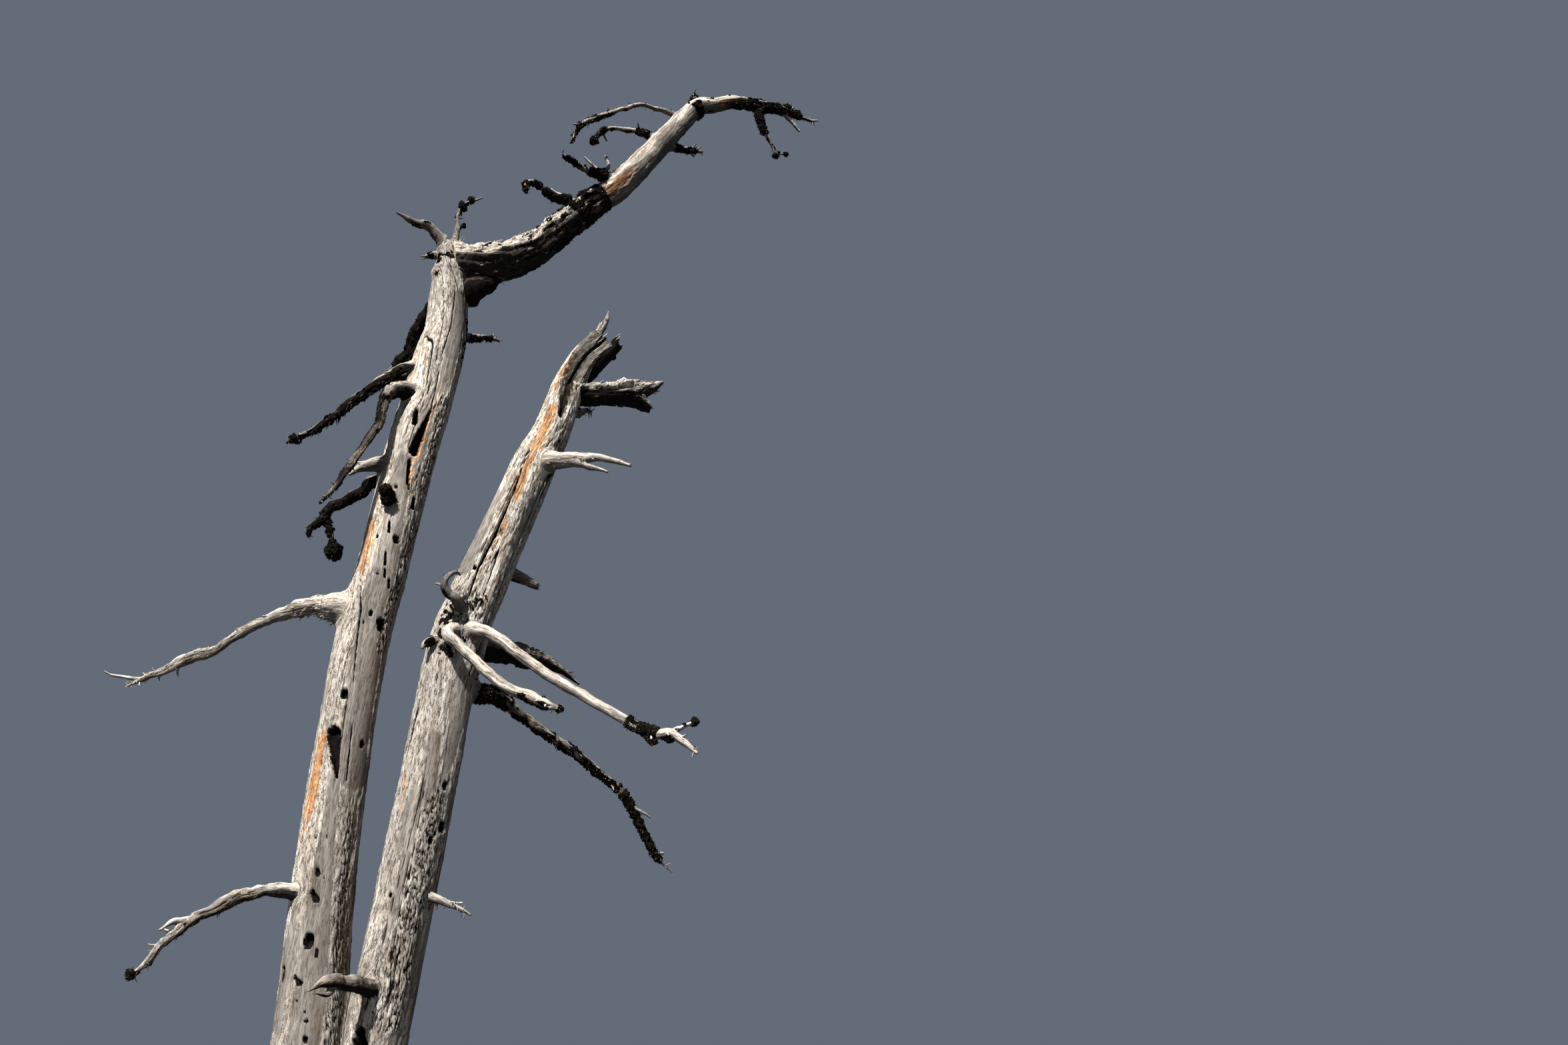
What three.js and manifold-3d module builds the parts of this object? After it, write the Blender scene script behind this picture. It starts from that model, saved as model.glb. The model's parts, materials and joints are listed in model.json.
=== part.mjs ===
// A dead mountain pine, bare and silver-grey: two stems fused at the foot, a leader bent over by the wind,
// broken boughs, and short crooked twigs hung with dark lichen.
// Millimetres and degrees. The ground is Z = 0 and the origin lies on the flat cut under the trunk.
import * as THREE from "three";
import { mergeVertices } from "three/addons/utils/BufferGeometryUtils.js";
import Module from "manifold-3d";

const wasm = await Module();
wasm.setup();

// Driving dimensions.
const FORK_HEIGHT = 1600; // where the fused foot parts into two stems
const JOIN_GAP = 0.3; // clearance between neighbouring solids
const BURIED = 60; // how far the trunk runs on below the cut, before it is trimmed flat
const FLARE_SPREAD = 0.75; // extra girth of the root flare at the ground, as a share of the stem's radius
const FLARE_HEIGHT = 300; // height in which the flare dies away to about a third
const BUTTRESSES = 5; // lobes of the root flare round each stem
const BUTTRESS_DEPTH = 0.38; // how far the flare draws in between the lobes
const FLUTING = 0.025; // depth of the stems' shallow flutes, as a share of the radius
const FLUTES = [{ count: 3, turn: 700 }, { count: 5, turn: -430 }]; // turn: the height in which one turns a radian
const SPUR = { shortest: 16, spread: 34, lean: 0.5, thickness: 0.42, thinnest: 4 }; // broken spurs on the twigs
const LUMP = { least: 0.8, spread: 0.4 }; // how uneven a lichen tuft is, as shares of its size
const STEM_SIDES = 22;
const BOUGH_SIDES = 8;
const TWIG_SIDES = 6;
const FORK_SIDES = 5;
const SPUR_SIDES = 3;
const PRONG_JAG = 4; // unevenness of a prong's broken end
const REACH = 12000; // a size larger than the whole tree

// A stem is given by stations from the ground up: [height, to the right, away from the viewer, radius].
const LEFT_STEM = {
  name: "left_stem",
  stations: [
    [-BURIED, -115, 0, 250],
    [700, -122, 10, 218],
    [1540, -135, 20, 198],
    [2360, -160, 50, 176],
    [3320, -141, 100, 163],
    [4020, -112, 130, 168],
    [4400, -60, 150, 160],
    [5200, 20, 190, 165],
    [5625, 85, 210, 171],
    [6070, 144, 230, 165],
    [6320, 176, 240, 145],
    [6640, 170, 250, 130],
    [6920, 160, 260, 106],
    [7060, 150, 262, 78],
  ],
  flareFrom: 0.4,
  jag: 12,
};
const RIGHT_STEM = {
  name: "right_stem",
  stations: [
    [-BURIED, 105, 0, 222],
    [700, 152, -8, 194],
    [1540, 226, -20, 176],
    [2520, 323, -70, 174],
    [3150, 387, -120, 166],
    [3820, 447, -160, 172],
    [4170, 528, -190, 162],
    [4920, 757, -250, 146],
    [5120, 822, -260, 140],
    [5320, 900, -280, 122],
    [5530, 962, -290, 114],
    [5730, 1010, -300, 100],
    [5950, 1105, -310, 96],
    [6100, 1225, -318, 102],
  ],
  flareFrom: 1.9,
  jag: 45,
};

// A limb leaves its parent's axis at a height, and runs on in legs: [length, heading, rise, radius at the end].
// A heading is seen from above: 0 to the right, 90 away from the viewer, 180 to the left, 270 towards the viewer.
// twigsFrom counts the legs after which the bough ends and its twigs begin. A limb without it is a bough
// throughout, and twigsFrom: 0 makes it all twigs. Prongs, forks and clumps sit at a leg's end, counted alike.
const LIMBS = [
  {
    name: "leader",
    on: "left_stem",
    height: 6890,
    butt: 150,
    legs: [
      [300, 0, 15, 146],
      [280, 355, 28, 126],
      [350, 355, 47, 104],
      [360, 350, 48, 98],
      [280, 350, 45, 110],
      [550, 350, 55, 90],
      [410, 350, 55, 76],
      [180, 350, 25, 62],
      [200, 350, 15, 52],
      [370, 355, 0, 34],
      [150, 355, -15, 16],
      [150, 355, -15, 8],
    ],
    boughs: [
      { name: "leader_rise", to: 7, sides: 12, perLeg: 3 },
      { name: "leader_arch", to: 10, sides: 10, perLeg: 3 },
    ],
    prongs: [
      { leg: 0, drop: 320, butt: 104, legs: [[190, 0, 40, 110], [170, 0, 35, 66], [105, 0, 40, 6]] },
      { leg: 3.6, butt: 70, legs: [[110, 330, -10, 50], [150, 355, 60, 8]] },
    ],
    twigsFrom: 10,
    twigsName: "leader_tip_twigs",
    forks: [
      { leg: 10, butt: 22, legs: [[240, 10, -40, 10]] },
      { leg: 11.7, butt: 10, legs: [[80, 350, 5, 6]] },
    ],
    clumps: [{ leg: 10.3, size: 54, lift: 26 }, { leg: 11, size: 42, lift: 28 }],
    spurs: 3,
  },
  {
    name: "leader_hanging_twigs",
    on: "leader",
    at: 9.5,
    twigsFrom: 0,
    butt: 34,
    legs: [[165, 0, -85, 26], [220, 0, -65, 12], [100, 0, -70, 8]],
    forks: [
      { leg: 0, butt: 16, legs: [[95, 345, -70, 10]] },
      { leg: 2.9, butt: 10, legs: [[100, 0, 5, 7]] },
    ],
    clumps: [
      { leg: 0, size: 52 },
      { leg: 1, size: 34 },
      { leg: 3, size: 38, lift: -18 },
      { leg: 3, fork: 1, size: 27 },
    ],
    spurs: 3,
  },
  {
    name: "leader_knot_tuft",
    on: "leader",
    height: 8590,
    twigsFrom: 0,
    butt: 40,
    legs: [[120, 330, 80, 34], [60, 150, 85, 10]],
    clumps: [{ leg: 1, size: 52, lift: -6 }],
    spurs: 2,
  },
  {
    name: "leader_long_twigs",
    on: "leader",
    height: 8500,
    twigsFrom: 0,
    butt: 30,
    legs: [
      [90, 180, 25, 24],
      [260, 200, -10, 16],
      [150, 200, -30, 17],
      [370, 195, -40, 17],
      [190, 195, -45, 14],
      [220, 195, -70, 5],
    ],
    forks: [
      { leg: 3.5, butt: 14, legs: [[130, 165, -20, 11], [110, 190, -50, 5]] },
      { leg: 5, butt: 11, legs: [[90, 215, -30, 5]] },
    ],
    clumps: [{ leg: 4, size: 34 }, { leg: 5, size: 38 }],
    spurs: 7,
  },
  {
    name: "leader_inner_twigs",
    on: "leader",
    height: 8260,
    twigsFrom: 0,
    butt: 38,
    legs: [[110, 170, 30, 30], [105, 160, 25, 22], [220, 165, 5, 16], [85, 165, -20, 14], [115, 170, -60, 9]],
    forks: [{ leg: 4, butt: 12, legs: [[90, 25, -50, 6]] }],
    clumps: [{ leg: 1, size: 34 }, { leg: 2, size: 33 }, { leg: 4, size: 44 }, { leg: 5, size: 50 }],
    spurs: 4,
  },
  {
    name: "leader_under_twigs",
    on: "leader",
    height: 8220,
    twigsFrom: 0,
    butt: 38,
    legs: [[250, 5, 10, 23], [135, 10, 10, 12]],
    forks: [{ leg: 1, butt: 14, legs: [[80, 20, -30, 8]] }],
    clumps: [{ leg: 0.5, size: 37 }, { leg: 1, size: 34, lift: -18 }],
    spurs: 4,
  },
  {
    name: "leader_middle_twigs",
    on: "leader",
    height: 7800,
    twigsFrom: 0,
    butt: 46,
    legs: [[160, 205, 10, 36], [105, 195, -10, 24], [190, 200, 10, 18], [60, 200, 10, 12]],
    forks: [
      { leg: 1, butt: 18, legs: [[245, 150, 50, 8]] },
      { leg: 1, butt: 18, legs: [[110, 20, 65, 16], [115, 135, 75, 12]] },
    ],
    clumps: [{ leg: 1, size: 74 }, { leg: 3, size: 34 }],
    spurs: 4,
  },
  {
    name: "leader_lower_twigs",
    on: "leader",
    height: 7560,
    twigsFrom: 0,
    butt: 44,
    legs: [[150, 190, 10, 32], [110, 195, -10, 24], [190, 195, 20, 20], [70, 190, -30, 18], [85, 300, -80, 12]],
    forks: [{ leg: 1, butt: 22, legs: [[180, 165, 35, 10]] }],
    clumps: [{ leg: 1, size: 48 }, { leg: 2.5, size: 30 }, { leg: 4, size: 44 }],
    spurs: 4,
  },
  {
    name: "top_horn",
    on: "left_stem",
    height: 6925,
    butt: 88,
    legs: [[110, 180, 65, 62], [105, 195, 50, 44], [125, 195, 30, 33], [125, 195, 0, 22], [95, 195, 15, 8]],
  },
  {
    name: "top_sprig",
    on: "left_stem",
    height: 7010,
    twigsFrom: 0,
    butt: 30,
    legs: [[230, 60, 80, 20], [125, 120, 85, 15], [115, 20, 75, 14], [180, 10, 40, 6]],
    forks: [{ leg: 1, butt: 10, legs: [[60, 350, 35, 8]] }],
    clumps: [{ leg: 3, size: 50, lift: -14 }, { leg: 3.5, size: 42 }, { leg: 1, fork: 0, size: 27 }],
    spurs: 3,
  },
  {
    name: "top_side_stub",
    on: "left_stem",
    height: 6940,
    butt: 40,
    legs: [[130, 180, 5, 30], [60, 180, -25, 16]],
  },
  {
    name: "upper_right_twigs",
    on: "left_stem",
    height: 6290,
    twigsFrom: 0,
    butt: 46,
    legs: [[165, 15, 10, 33], [180, 15, 15, 16], [85, 15, 0, 6]],
    forks: [{ leg: 2, butt: 9, legs: [[55, 40, 60, 6]] }],
    clumps: [{ leg: 1, size: 40 }, { leg: 1.5, size: 36 }],
    spurs: 3,
  },
  {
    name: "shaded_bough",
    on: "left_stem",
    height: 6620,
    butt: 50,
    legs: [[100, 135, -15, 46], [145, 130, -35, 44], [255, 120, -55, 46], [135, 135, -55, 46], [220, 160, -40, 14]],
  },
  {
    name: "upper_left_bough",
    on: "left_stem",
    height: 5950,
    butt: 84,
    legs: [
      [170, 190, -5, 60],
      [120, 170, -25, 42],
      [240, 170, -40, 33],
      [250, 165, -45, 28],
      [110, 165, -45, 26],
      [100, 165, -40, 20],
      [90, 175, -30, 12],
      [70, 170, -35, 4],
    ],
    twigsFrom: 5,
    clumps: [{ leg: 7, size: 52 }],
    spurs: 4,
  },
  {
    name: "hanging_bough",
    on: "left_stem",
    height: 5735,
    butt: 84,
    legs: [
      [220, 220, -5, 60],
      [120, 210, -35, 46],
      [135, 230, -70, 36],
      [160, 250, -75, 30],
      [300, 215, -65, 24],
      [310, 215, -65, 17],
      [135, 195, -60, 10],
    ],
    twigsFrom: 5,
    forks: [{ leg: 5.5, butt: 12, legs: [[90, 195, -60, 5]] }],
    spurs: 4,
  },
  {
    name: "hollow_stub",
    on: "left_stem",
    height: 5155,
    butt: 84,
    legs: [[175, 205, 0, 60], [150, 200, -25, 28], [95, 195, -45, 8]],
    prongs: [{ leg: 1.6, butt: 26, legs: [[76, 195, 5, 7]] }],
  },
  {
    name: "crooked_bough",
    on: "left_stem",
    height: 5110,
    butt: 48,
    legs: [
      [205, 175, -15, 41],
      [90, 140, -35, 36],
      [230, 155, -30, 34],
      [95, 150, -50, 28],
      [85, 160, -45, 20],
      [80, 155, -75, 7],
    ],
    twigsFrom: 3,
    forks: [{ leg: 4, butt: 20, legs: [[80, 5, -50, 17], [180, 0, -75, 13]] }],
    clumps: [{ leg: 4, fork: 0, size: 76, lift: 10 }],
    spurs: 4,
  },
  {
    name: "long_left_bough",
    on: "left_stem",
    height: 4110,
    butt: 132,
    legs: [
      [200, 185, 5, 98],
      [90, 165, 5, 74],
      [105, 165, -5, 56],
      [260, 160, -20, 34],
      [225, 160, -30, 28],
      [120, 160, -40, 26],
      [100, 170, -20, 34],
      [230, 170, -30, 21],
      [125, 175, -30, 16],
      [100, 175, -30, 6],
    ],
    prongs: [{ leg: 3, butt: 30, legs: [[90, 170, -45, 12]] }],
    twigsFrom: 6,
    forks: [
      { leg: 7, butt: 18, legs: [[110, 165, -10, 13], [110, 170, -40, 4]] },
      { leg: 9, butt: 14, legs: [[160, 175, 5, 9], [70, 180, 20, 4]] },
    ],
    spurs: 7,
  },
  {
    name: "low_left_bough",
    on: "left_stem",
    height: 2355,
    butt: 62,
    legs: [
      [190, 210, 0, 46],
      [150, 200, 0, 34],
      [150, 205, -20, 31],
      [275, 210, -30, 28],
      [110, 200, -40, 25],
      [95, 210, -50, 21],
      [115, 200, -55, 15],
      [80, 190, -45, 9],
    ],
    twigsFrom: 4,
    forks: [{ leg: 4, butt: 20, legs: [[90, 205, -5, 17], [90, 205, -35, 6]] }],
    clumps: [{ leg: 8, size: 42, lift: 12 }],
    spurs: 3,
  },
  {
    name: "knot_tuft",
    on: "left_stem",
    height: 4905,
    twigsFrom: 0,
    butt: 44,
    legs: [[200, 250, -5, 38], [45, 250, -20, 16]],
    clumps: [{ leg: 2, size: 74, lift: -8 }],
    spurs: 3,
  },
  {
    name: "right_top_splinter",
    on: "right_stem",
    height: 6040,
    aside: -40,
    butt: 56,
    legs: [[60, 350, 65, 40], [190, 350, 65, 15], [90, 340, 80, 3]],
  },
  {
    name: "broken_right_bough",
    on: "right_stem",
    height: 5690,
    butt: 86,
    legs: [
      [140, 10, 5, 72],
      [130, 15, 15, 64],
      [160, 15, 20, 70],
      [110, 15, 20, 60],
      [130, 10, 30, 34],
      [120, 10, 35, 10],
    ],
    prongs: [
      { leg: 2.4, butt: 18, legs: [[120, 20, 40, 14], [60, 20, 50, 5]] },
      { leg: 3, butt: 56, legs: [[130, 15, 5, 36], [56, 10, 0, 12]] },
    ],
  },
  {
    name: "right_dead_twigs",
    on: "right_stem",
    height: 5510,
    twigsFrom: 0,
    butt: 38,
    legs: [[140, 10, 15, 25], [80, 20, 40, 14], [50, 10, 0, 6]],
    clumps: [{ leg: 1, size: 28 }],
    spurs: 6,
  },
  {
    name: "forked_right_bough",
    on: "right_stem",
    height: 5100,
    butt: 84,
    legs: [[150, 315, 10, 66], [105, 335, 0, 52], [210, 340, 5, 22], [235, 340, -15, 10]],
    prongs: [{ leg: 2, butt: 34, legs: [[120, 335, -20, 24], [180, 345, -15, 8]] }],
  },
  {
    name: "right_stub",
    on: "right_stem",
    height: 4390,
    butt: 66,
    legs: [[170, 15, -5, 46], [180, 15, -15, 26]],
  },
  {
    name: "curled_twigs",
    on: "right_stem",
    height: 4045,
    twigsFrom: 0,
    butt: 44,
    legs: [
      [230, 250, 10, 36],
      [70, 210, 25, 29],
      [60, 210, 45, 24],
      [50, 315, 75, 17],
      [70, 10, 45, 12],
      [40, 30, -15, 6],
    ],
    spurs: 4,
  },
  {
    name: "whorl_knob",
    on: "right_stem",
    height: 3890,
    butt: 44,
    legs: [[180, 215, -10, 31], [65, 190, -30, 22], [35, 180, -60, 10]],
  },
  {
    name: "long_right_bough",
    on: "right_stem",
    height: 3950,
    butt: 74,
    legs: [
      [235, 295, -10, 54],
      [140, 335, -25, 46],
      [410, 340, -35, 40],
      [580, 340, -30, 32],
      [155, 345, -25, 32],
      [100, 340, 0, 29],
      [95, 345, -30, 24],
      [110, 345, -40, 10],
    ],
    twigsFrom: 4,
    forks: [{ leg: 6, butt: 20, legs: [[185, 15, 30, 10]] }],
    clumps: [
      { leg: 5, size: 50, lift: 12 },
      { leg: 5, size: 52, lift: -30 },
      { leg: 6, size: 44, lift: -26 },
      { leg: 6, fork: 0, size: 42 },
    ],
    spurs: 4,
  },
  {
    name: "short_right_bough",
    on: "right_stem",
    height: 3960,
    butt: 66,
    legs: [
      [280, 250, -20, 48],
      [150, 325, -45, 42],
      [370, 330, -40, 37],
      [165, 335, -25, 36],
      [115, 335, -25, 31],
      [105, 345, -20, 14],
    ],
    twigsFrom: 4,
    forks: [{ leg: 5, butt: 22, legs: [[66, 330, -35, 8]] }],
    clumps: [{ leg: 5, size: 34, lift: 14 }, { leg: 6, size: 32 }],
    spurs: 3,
  },
  {
    name: "broad_shaded_bough",
    on: "right_stem",
    height: 3890,
    butt: 104,
    legs: [
      [260, 30, 0, 82],
      [150, 25, 5, 76],
      [150, 25, -5, 70],
      [125, 20, -5, 46],
      [125, 15, -20, 22],
      [130, 15, -30, 6],
    ],
  },
  {
    name: "lichen_bough",
    on: "right_stem",
    height: 3655,
    butt: 96,
    legs: [
      [190, 10, -20, 64],
      [140, 20, -5, 42],
      [340, 25, -25, 32],
      [370, 20, -25, 29],
      [180, 20, -30, 27],
      [155, 20, -30, 25],
      [140, 20, -45, 23],
      [365, 20, -55, 15],
      [190, 15, -40, 3],
    ],
    twigsFrom: 5,
    forks: [
      { leg: 7, butt: 16, legs: [[165, 350, -30, 7]] },
      { leg: 8, butt: 13, legs: [[66, 10, 0, 8]] },
    ],
    clumps: [
      { leg: 6, size: 42 },
      { leg: 7, size: 44 },
      { leg: 7.4, size: 44 },
      { leg: 7.8, size: 40 },
      { leg: 8.2, size: 38 },
    ],
    spurs: 5,
  },
  {
    name: "low_right_twigs",
    on: "right_stem",
    height: 2340,
    twigsFrom: 0,
    butt: 46,
    legs: [[160, 325, 0, 32], [185, 335, -20, 14], [100, 340, -25, 6]],
    forks: [{ leg: 1.6, butt: 12, legs: [[96, 350, 0, 5]] }],
    spurs: 4,
  },
  {
    name: "front_stub",
    on: "right_stem",
    height: 1820,
    butt: 64,
    legs: [[225, 240, 5, 46], [245, 230, 5, 32], [90, 220, -10, 24], [105, 220, -25, 6]],
    prongs: [{ leg: 2, butt: 22, legs: [[62, 225, -20, 14], [60, 220, -10, 5]] }],
  },
  // The far side, which the stems hide, carries stubs like those in view.
  {
    name: "back_low_bough",
    on: "left_stem",
    height: 2980,
    butt: 70,
    legs: [[200, 95, 0, 50], [150, 90, -10, 36], [170, 100, -25, 30], [140, 95, -35, 22], [110, 100, -40, 8]],
  },
  {
    name: "back_middle_stub",
    on: "left_stem",
    height: 4560,
    butt: 62,
    legs: [[190, 85, 5, 46], [120, 90, -10, 34], [110, 80, -15, 20]],
  },
  {
    name: "back_high_bough",
    on: "left_stem",
    height: 5470,
    butt: 74,
    legs: [[210, 90, 0, 52], [140, 85, -20, 38], [170, 85, -40, 30], [150, 90, -50, 20], [120, 85, -60, 7]],
  },
  {
    name: "back_whorl_bough",
    on: "right_stem",
    height: 3800,
    butt: 78,
    legs: [[220, 90, 0, 54], [160, 85, -15, 40], [190, 85, -25, 32], [160, 80, -30, 22], [130, 85, -35, 8]],
  },
  {
    name: "back_low_stub",
    on: "right_stem",
    height: 2860,
    butt: 60,
    legs: [[200, 80, 5, 42], [130, 85, -10, 28], [90, 80, -20, 9]],
  },
  {
    name: "back_upper_stub",
    on: "right_stem",
    height: 5010,
    butt: 60,
    legs: [[180, 75, 10, 44], [120, 80, 0, 32], [90, 75, -10, 20]],
  },
];

const finish = (colour, roughness) => new THREE.MeshStandardMaterial({ color: colour, roughness, metalness: 0 });
const MATERIALS = {
  trunk: finish("#9c948a", 0.85),
  bough: finish("#b0a698", 0.85),
  twigs: finish("#5d564c", 0.9),
};

// The same row of random numbers, from 0 to 1, each time.
function seeded(seed) {
  let state = seed >>> 0;
  return () => {
    state = (Math.imul(state, 1664525) + 1013904223) >>> 0;
    return state / 4294967296;
  };
}

function seedOf(name) {
  return [...name].reduce((sum, letter) => (sum * 31 + letter.charCodeAt(0)) >>> 0, 7);
}

function direction(heading, rise) {
  const h = THREE.MathUtils.degToRad(heading);
  const r = THREE.MathUtils.degToRad(rise);
  return new THREE.Vector3(Math.cos(h) * Math.cos(r), Math.sin(h) * Math.cos(r), Math.sin(r));
}

// A path is a smooth line through corners, with the radius at each corner.
function walk(start, butt, legs) {
  const corners = [start.clone()];
  const radii = [butt];
  for (const [length, heading, rise, radius] of legs) {
    corners.push(corners.at(-1).clone().addScaledVector(direction(heading, rise), length));
    radii.push(radius);
  }
  return { corners, radii };
}

function stemPath(stem) {
  return {
    corners: stem.stations.map(([height, right, away]) => new THREE.Vector3(right, away, height)),
    radii: stem.stations.map((station) => station[3]),
  };
}

const curveOf = (path) => new THREE.CatmullRomCurve3(path.corners, false, "catmullrom", 0.5);

// place counts corners: 2.5 is half way from the third corner to the fourth.
function pointAt(path, place) {
  return curveOf(path).getPoint(place / (path.corners.length - 1));
}

function radiusAt(path, place) {
  const i = Math.min(Math.floor(place), path.radii.length - 2);
  return THREE.MathUtils.lerp(path.radii[i], path.radii[i + 1], place - i);
}

function placeAtHeight(path, height) {
  let low = 0;
  let high = path.corners.length - 1;
  for (let step = 0; step < 40; step += 1) {
    const middle = (low + high) / 2;
    if (pointAt(path, middle).z < height) low = middle;
    else high = middle;
  }
  return low;
}

// Tangent and two cross directions at each ring, carried along so that the tube doesn't twist.
function framesAlong(path, places) {
  const curve = curveOf(path);
  const last = path.corners.length - 1;
  let across = null;
  return places.map((place) => {
    const along = curve.getTangent(place / last);
    if (!across) across = Math.abs(along.z) > 0.8 ? new THREE.Vector3(1, 0, 0) : new THREE.Vector3(0, 0, 1);
    across = across.clone().addScaledVector(along, -across.dot(along)).normalize();
    return { centre: curve.getPoint(place / last), along, across, beside: across.clone().cross(along) };
  });
}

// A closed tube round a path. girth turns a radius, an angle and a place into the real radius there. jag
// gives the far end a broken rim with a sunken middle. grow makes the same tube a little larger all round.
function tube(path, options) {
  const { from = 0, sides, perLeg = 1, girth, grow, jag = 0, seed = 1, startGap = 0 } = options;
  const end = options.to ?? path.corners.length - 1;
  const rings = Math.max(1, Math.round((end - from) * perLeg));
  const places = Array.from({ length: rings + 1 }, (_, i) => from + ((end - from) * i) / rings);
  const frames = framesAlong(path, places);
  frames[0].centre.addScaledVector(frames[0].along, startGap - 0.9 * grow);
  const random = seeded(seed);
  const teeth = Array.from({ length: sides }, () => (random() - 0.5) * 2 * jag);
  const shape = bareGeometry(new THREE.CylinderGeometry(1, 1, 1, sides, rings));
  const position = shape.attributes.position;
  for (let i = 0; i < position.count; i += 1) {
    const ring = Math.round((position.getY(i) + 0.5) * rings);
    const { centre, along, across, beside } = frames[ring];
    const rim = Math.hypot(position.getX(i), position.getZ(i)) > 0.5;
    const angle = Math.atan2(position.getZ(i), position.getX(i));
    const plain = radiusAt(path, places[ring]);
    const r = rim ? (girth ? girth(plain, angle, places[ring]) : plain) + grow : 0;
    const tooth = Math.round((angle / (2 * Math.PI) + 1) * sides) % sides;
    const push = ring < rings ? 0 : (rim ? teeth[tooth] : -1.2 * jag) + 0.9 * grow;
    const p = centre
      .clone()
      .addScaledVector(across, r * Math.cos(angle))
      .addScaledVector(beside, r * Math.sin(angle))
      .addScaledVector(along, push);
    position.setXYZ(i, p.x, p.y, p.z);
  }
  return solidFrom(shape);
}

// A shape with its shared vertices merged, ready to be bent and joined.
function bareGeometry(geometry) {
  geometry.deleteAttribute("normal");
  geometry.deleteAttribute("uv");
  return mergeVertices(geometry, 1e-4);
}

function solidFrom(geometry) {
  return new wasm.Manifold(
    new wasm.Mesh({
      numProp: 3,
      vertProperties: geometry.attributes.position.array,
      triVerts: new Uint32Array(geometry.index.array),
    }),
  );
}

// All the space between two heights.
function between(low, high) {
  const box = new THREE.BoxGeometry(2 * REACH, 2 * REACH, high - low);
  return solidFrom(bareGeometry(box.translate(0, 0, (low + high) / 2)));
}


// A lumpy ball of lichen.
function lump(centre, size, grow, seed) {
  const ball = bareGeometry(new THREE.IcosahedronGeometry(1, 0));
  const random = seeded(seed);
  const position = ball.attributes.position;
  for (let i = 0; i < position.count; i += 1) {
    const reach = size * (LUMP.least + LUMP.spread * random()) + 2 * grow;
    const p = new THREE.Vector3().fromBufferAttribute(position, i).normalize().multiplyScalar(reach).add(centre);
    position.setXYZ(i, p.x, p.y, p.z);
  }
  return solidFrom(ball);
}

// Shallow flutes that turn slowly round a stem, and the root flare near the ground.
function stemGirth(stem, path) {
  return (radius, angle, place) => {
    const height = pointAt(path, place).z;
    const flutes = FLUTES.reduce((sum, { count, turn }) => sum + Math.sin(count * angle + height / turn), 0);
    const lobes = 1 - BUTTRESS_DEPTH + BUTTRESS_DEPTH * Math.cos(BUTTRESSES * angle + stem.flareFrom);
    const flare = FLARE_SPREAD * lobes * Math.exp(-Math.max(height, 0) / FLARE_HEIGHT);
    return radius * (1 + FLUTING * flutes) * (1 + flare);
  };
}

function stemTube(stem, grow) {
  const path = stemPath(stem);
  const girth = stemGirth(stem, path);
  return tube(path, { sides: STEM_SIDES, perLeg: 2, girth, grow, jag: stem.jag, seed: seedOf(stem.name) });
}

// Short broken spurs on a run of a path, placed by the seeded rule.
function spurs(path, from, to, count, grow, seed) {
  const random = seeded(seed);
  return Array.from({ length: count }, (_, i) => {
    const place = from + ((to - from) * (i + 0.35 + 0.5 * random())) / count;
    const [frame] = framesAlong(path, [place]);
    const round = random() * 2 * Math.PI;
    const out = frame.across.clone().multiplyScalar(Math.cos(round)).addScaledVector(frame.beside, Math.sin(round));
    const radius = radiusAt(path, place);
    const reach = radius + SPUR.shortest + SPUR.spread * random();
    const tip = frame.centre.clone().addScaledVector(out, reach).addScaledVector(frame.along, SPUR.lean * reach);
    const thick = Math.max(SPUR.thinnest, SPUR.thickness * radius);
    return tube({ corners: [frame.centre, tip], radii: [thick, thick / 2] }, { sides: SPUR_SIDES, grow });
  });
}

const fuse = (solids) => solids.slice(1).reduce((whole, next) => whole.add(next), solids[0]);
const largest = (solid) => solid.decompose().sort((a, b) => b.volume() - a.volume())[0];

const STEMS = [LEFT_STEM, RIGHT_STEM];
const paths = new Map(STEMS.map((stem) => [stem.name, stemPath(stem)]));
const taken = []; // each solid so far, a gap larger than it is

// What is left of a solid clear of all that stands already.
function clearOf(solid) {
  return largest(taken.reduce((rest, other) => rest.subtract(other), solid));
}

function branch(path, { leg, drop = 0, butt, legs }) {
  return walk(pointAt(path, leg).add(new THREE.Vector3(0, 0, -drop)), butt, legs);
}

// A bough runs as one tube, or as several in a row, each with the prongs that leave it.
function boughParts(limb, path) {
  const legs = limb.legs.length;
  const seed = seedOf(limb.name);
  const wholeBough = { name: limb.name, to: limb.twigsFrom ?? legs, sides: BOUGH_SIDES, perLeg: 1 };
  return (limb.boughs ?? [wholeBough]).map(({ name, to, sides, perLeg }, i, all) => {
    const from = all[i - 1]?.to ?? 0;
    const jag = to === legs ? path.radii.at(-1) : 0;
    const options = { from, to, sides, perLeg, seed, jag, startGap: i && JOIN_GAP };
    const leaving = (limb.prongs ?? []).filter(({ leg }) => leg >= from && leg < to);
    const prongs = leaving.map((prong) => branch(path, prong));
    const solid = (grow) =>
      fuse([
        tube(path, { ...options, grow }),
        ...prongs.map((prong, n) => tube(prong, { sides: TWIG_SIDES, jag: PRONG_JAG, seed: seed + n, grow })),
      ]);
    return { name, kind: "bough", solid };
  });
}

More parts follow.
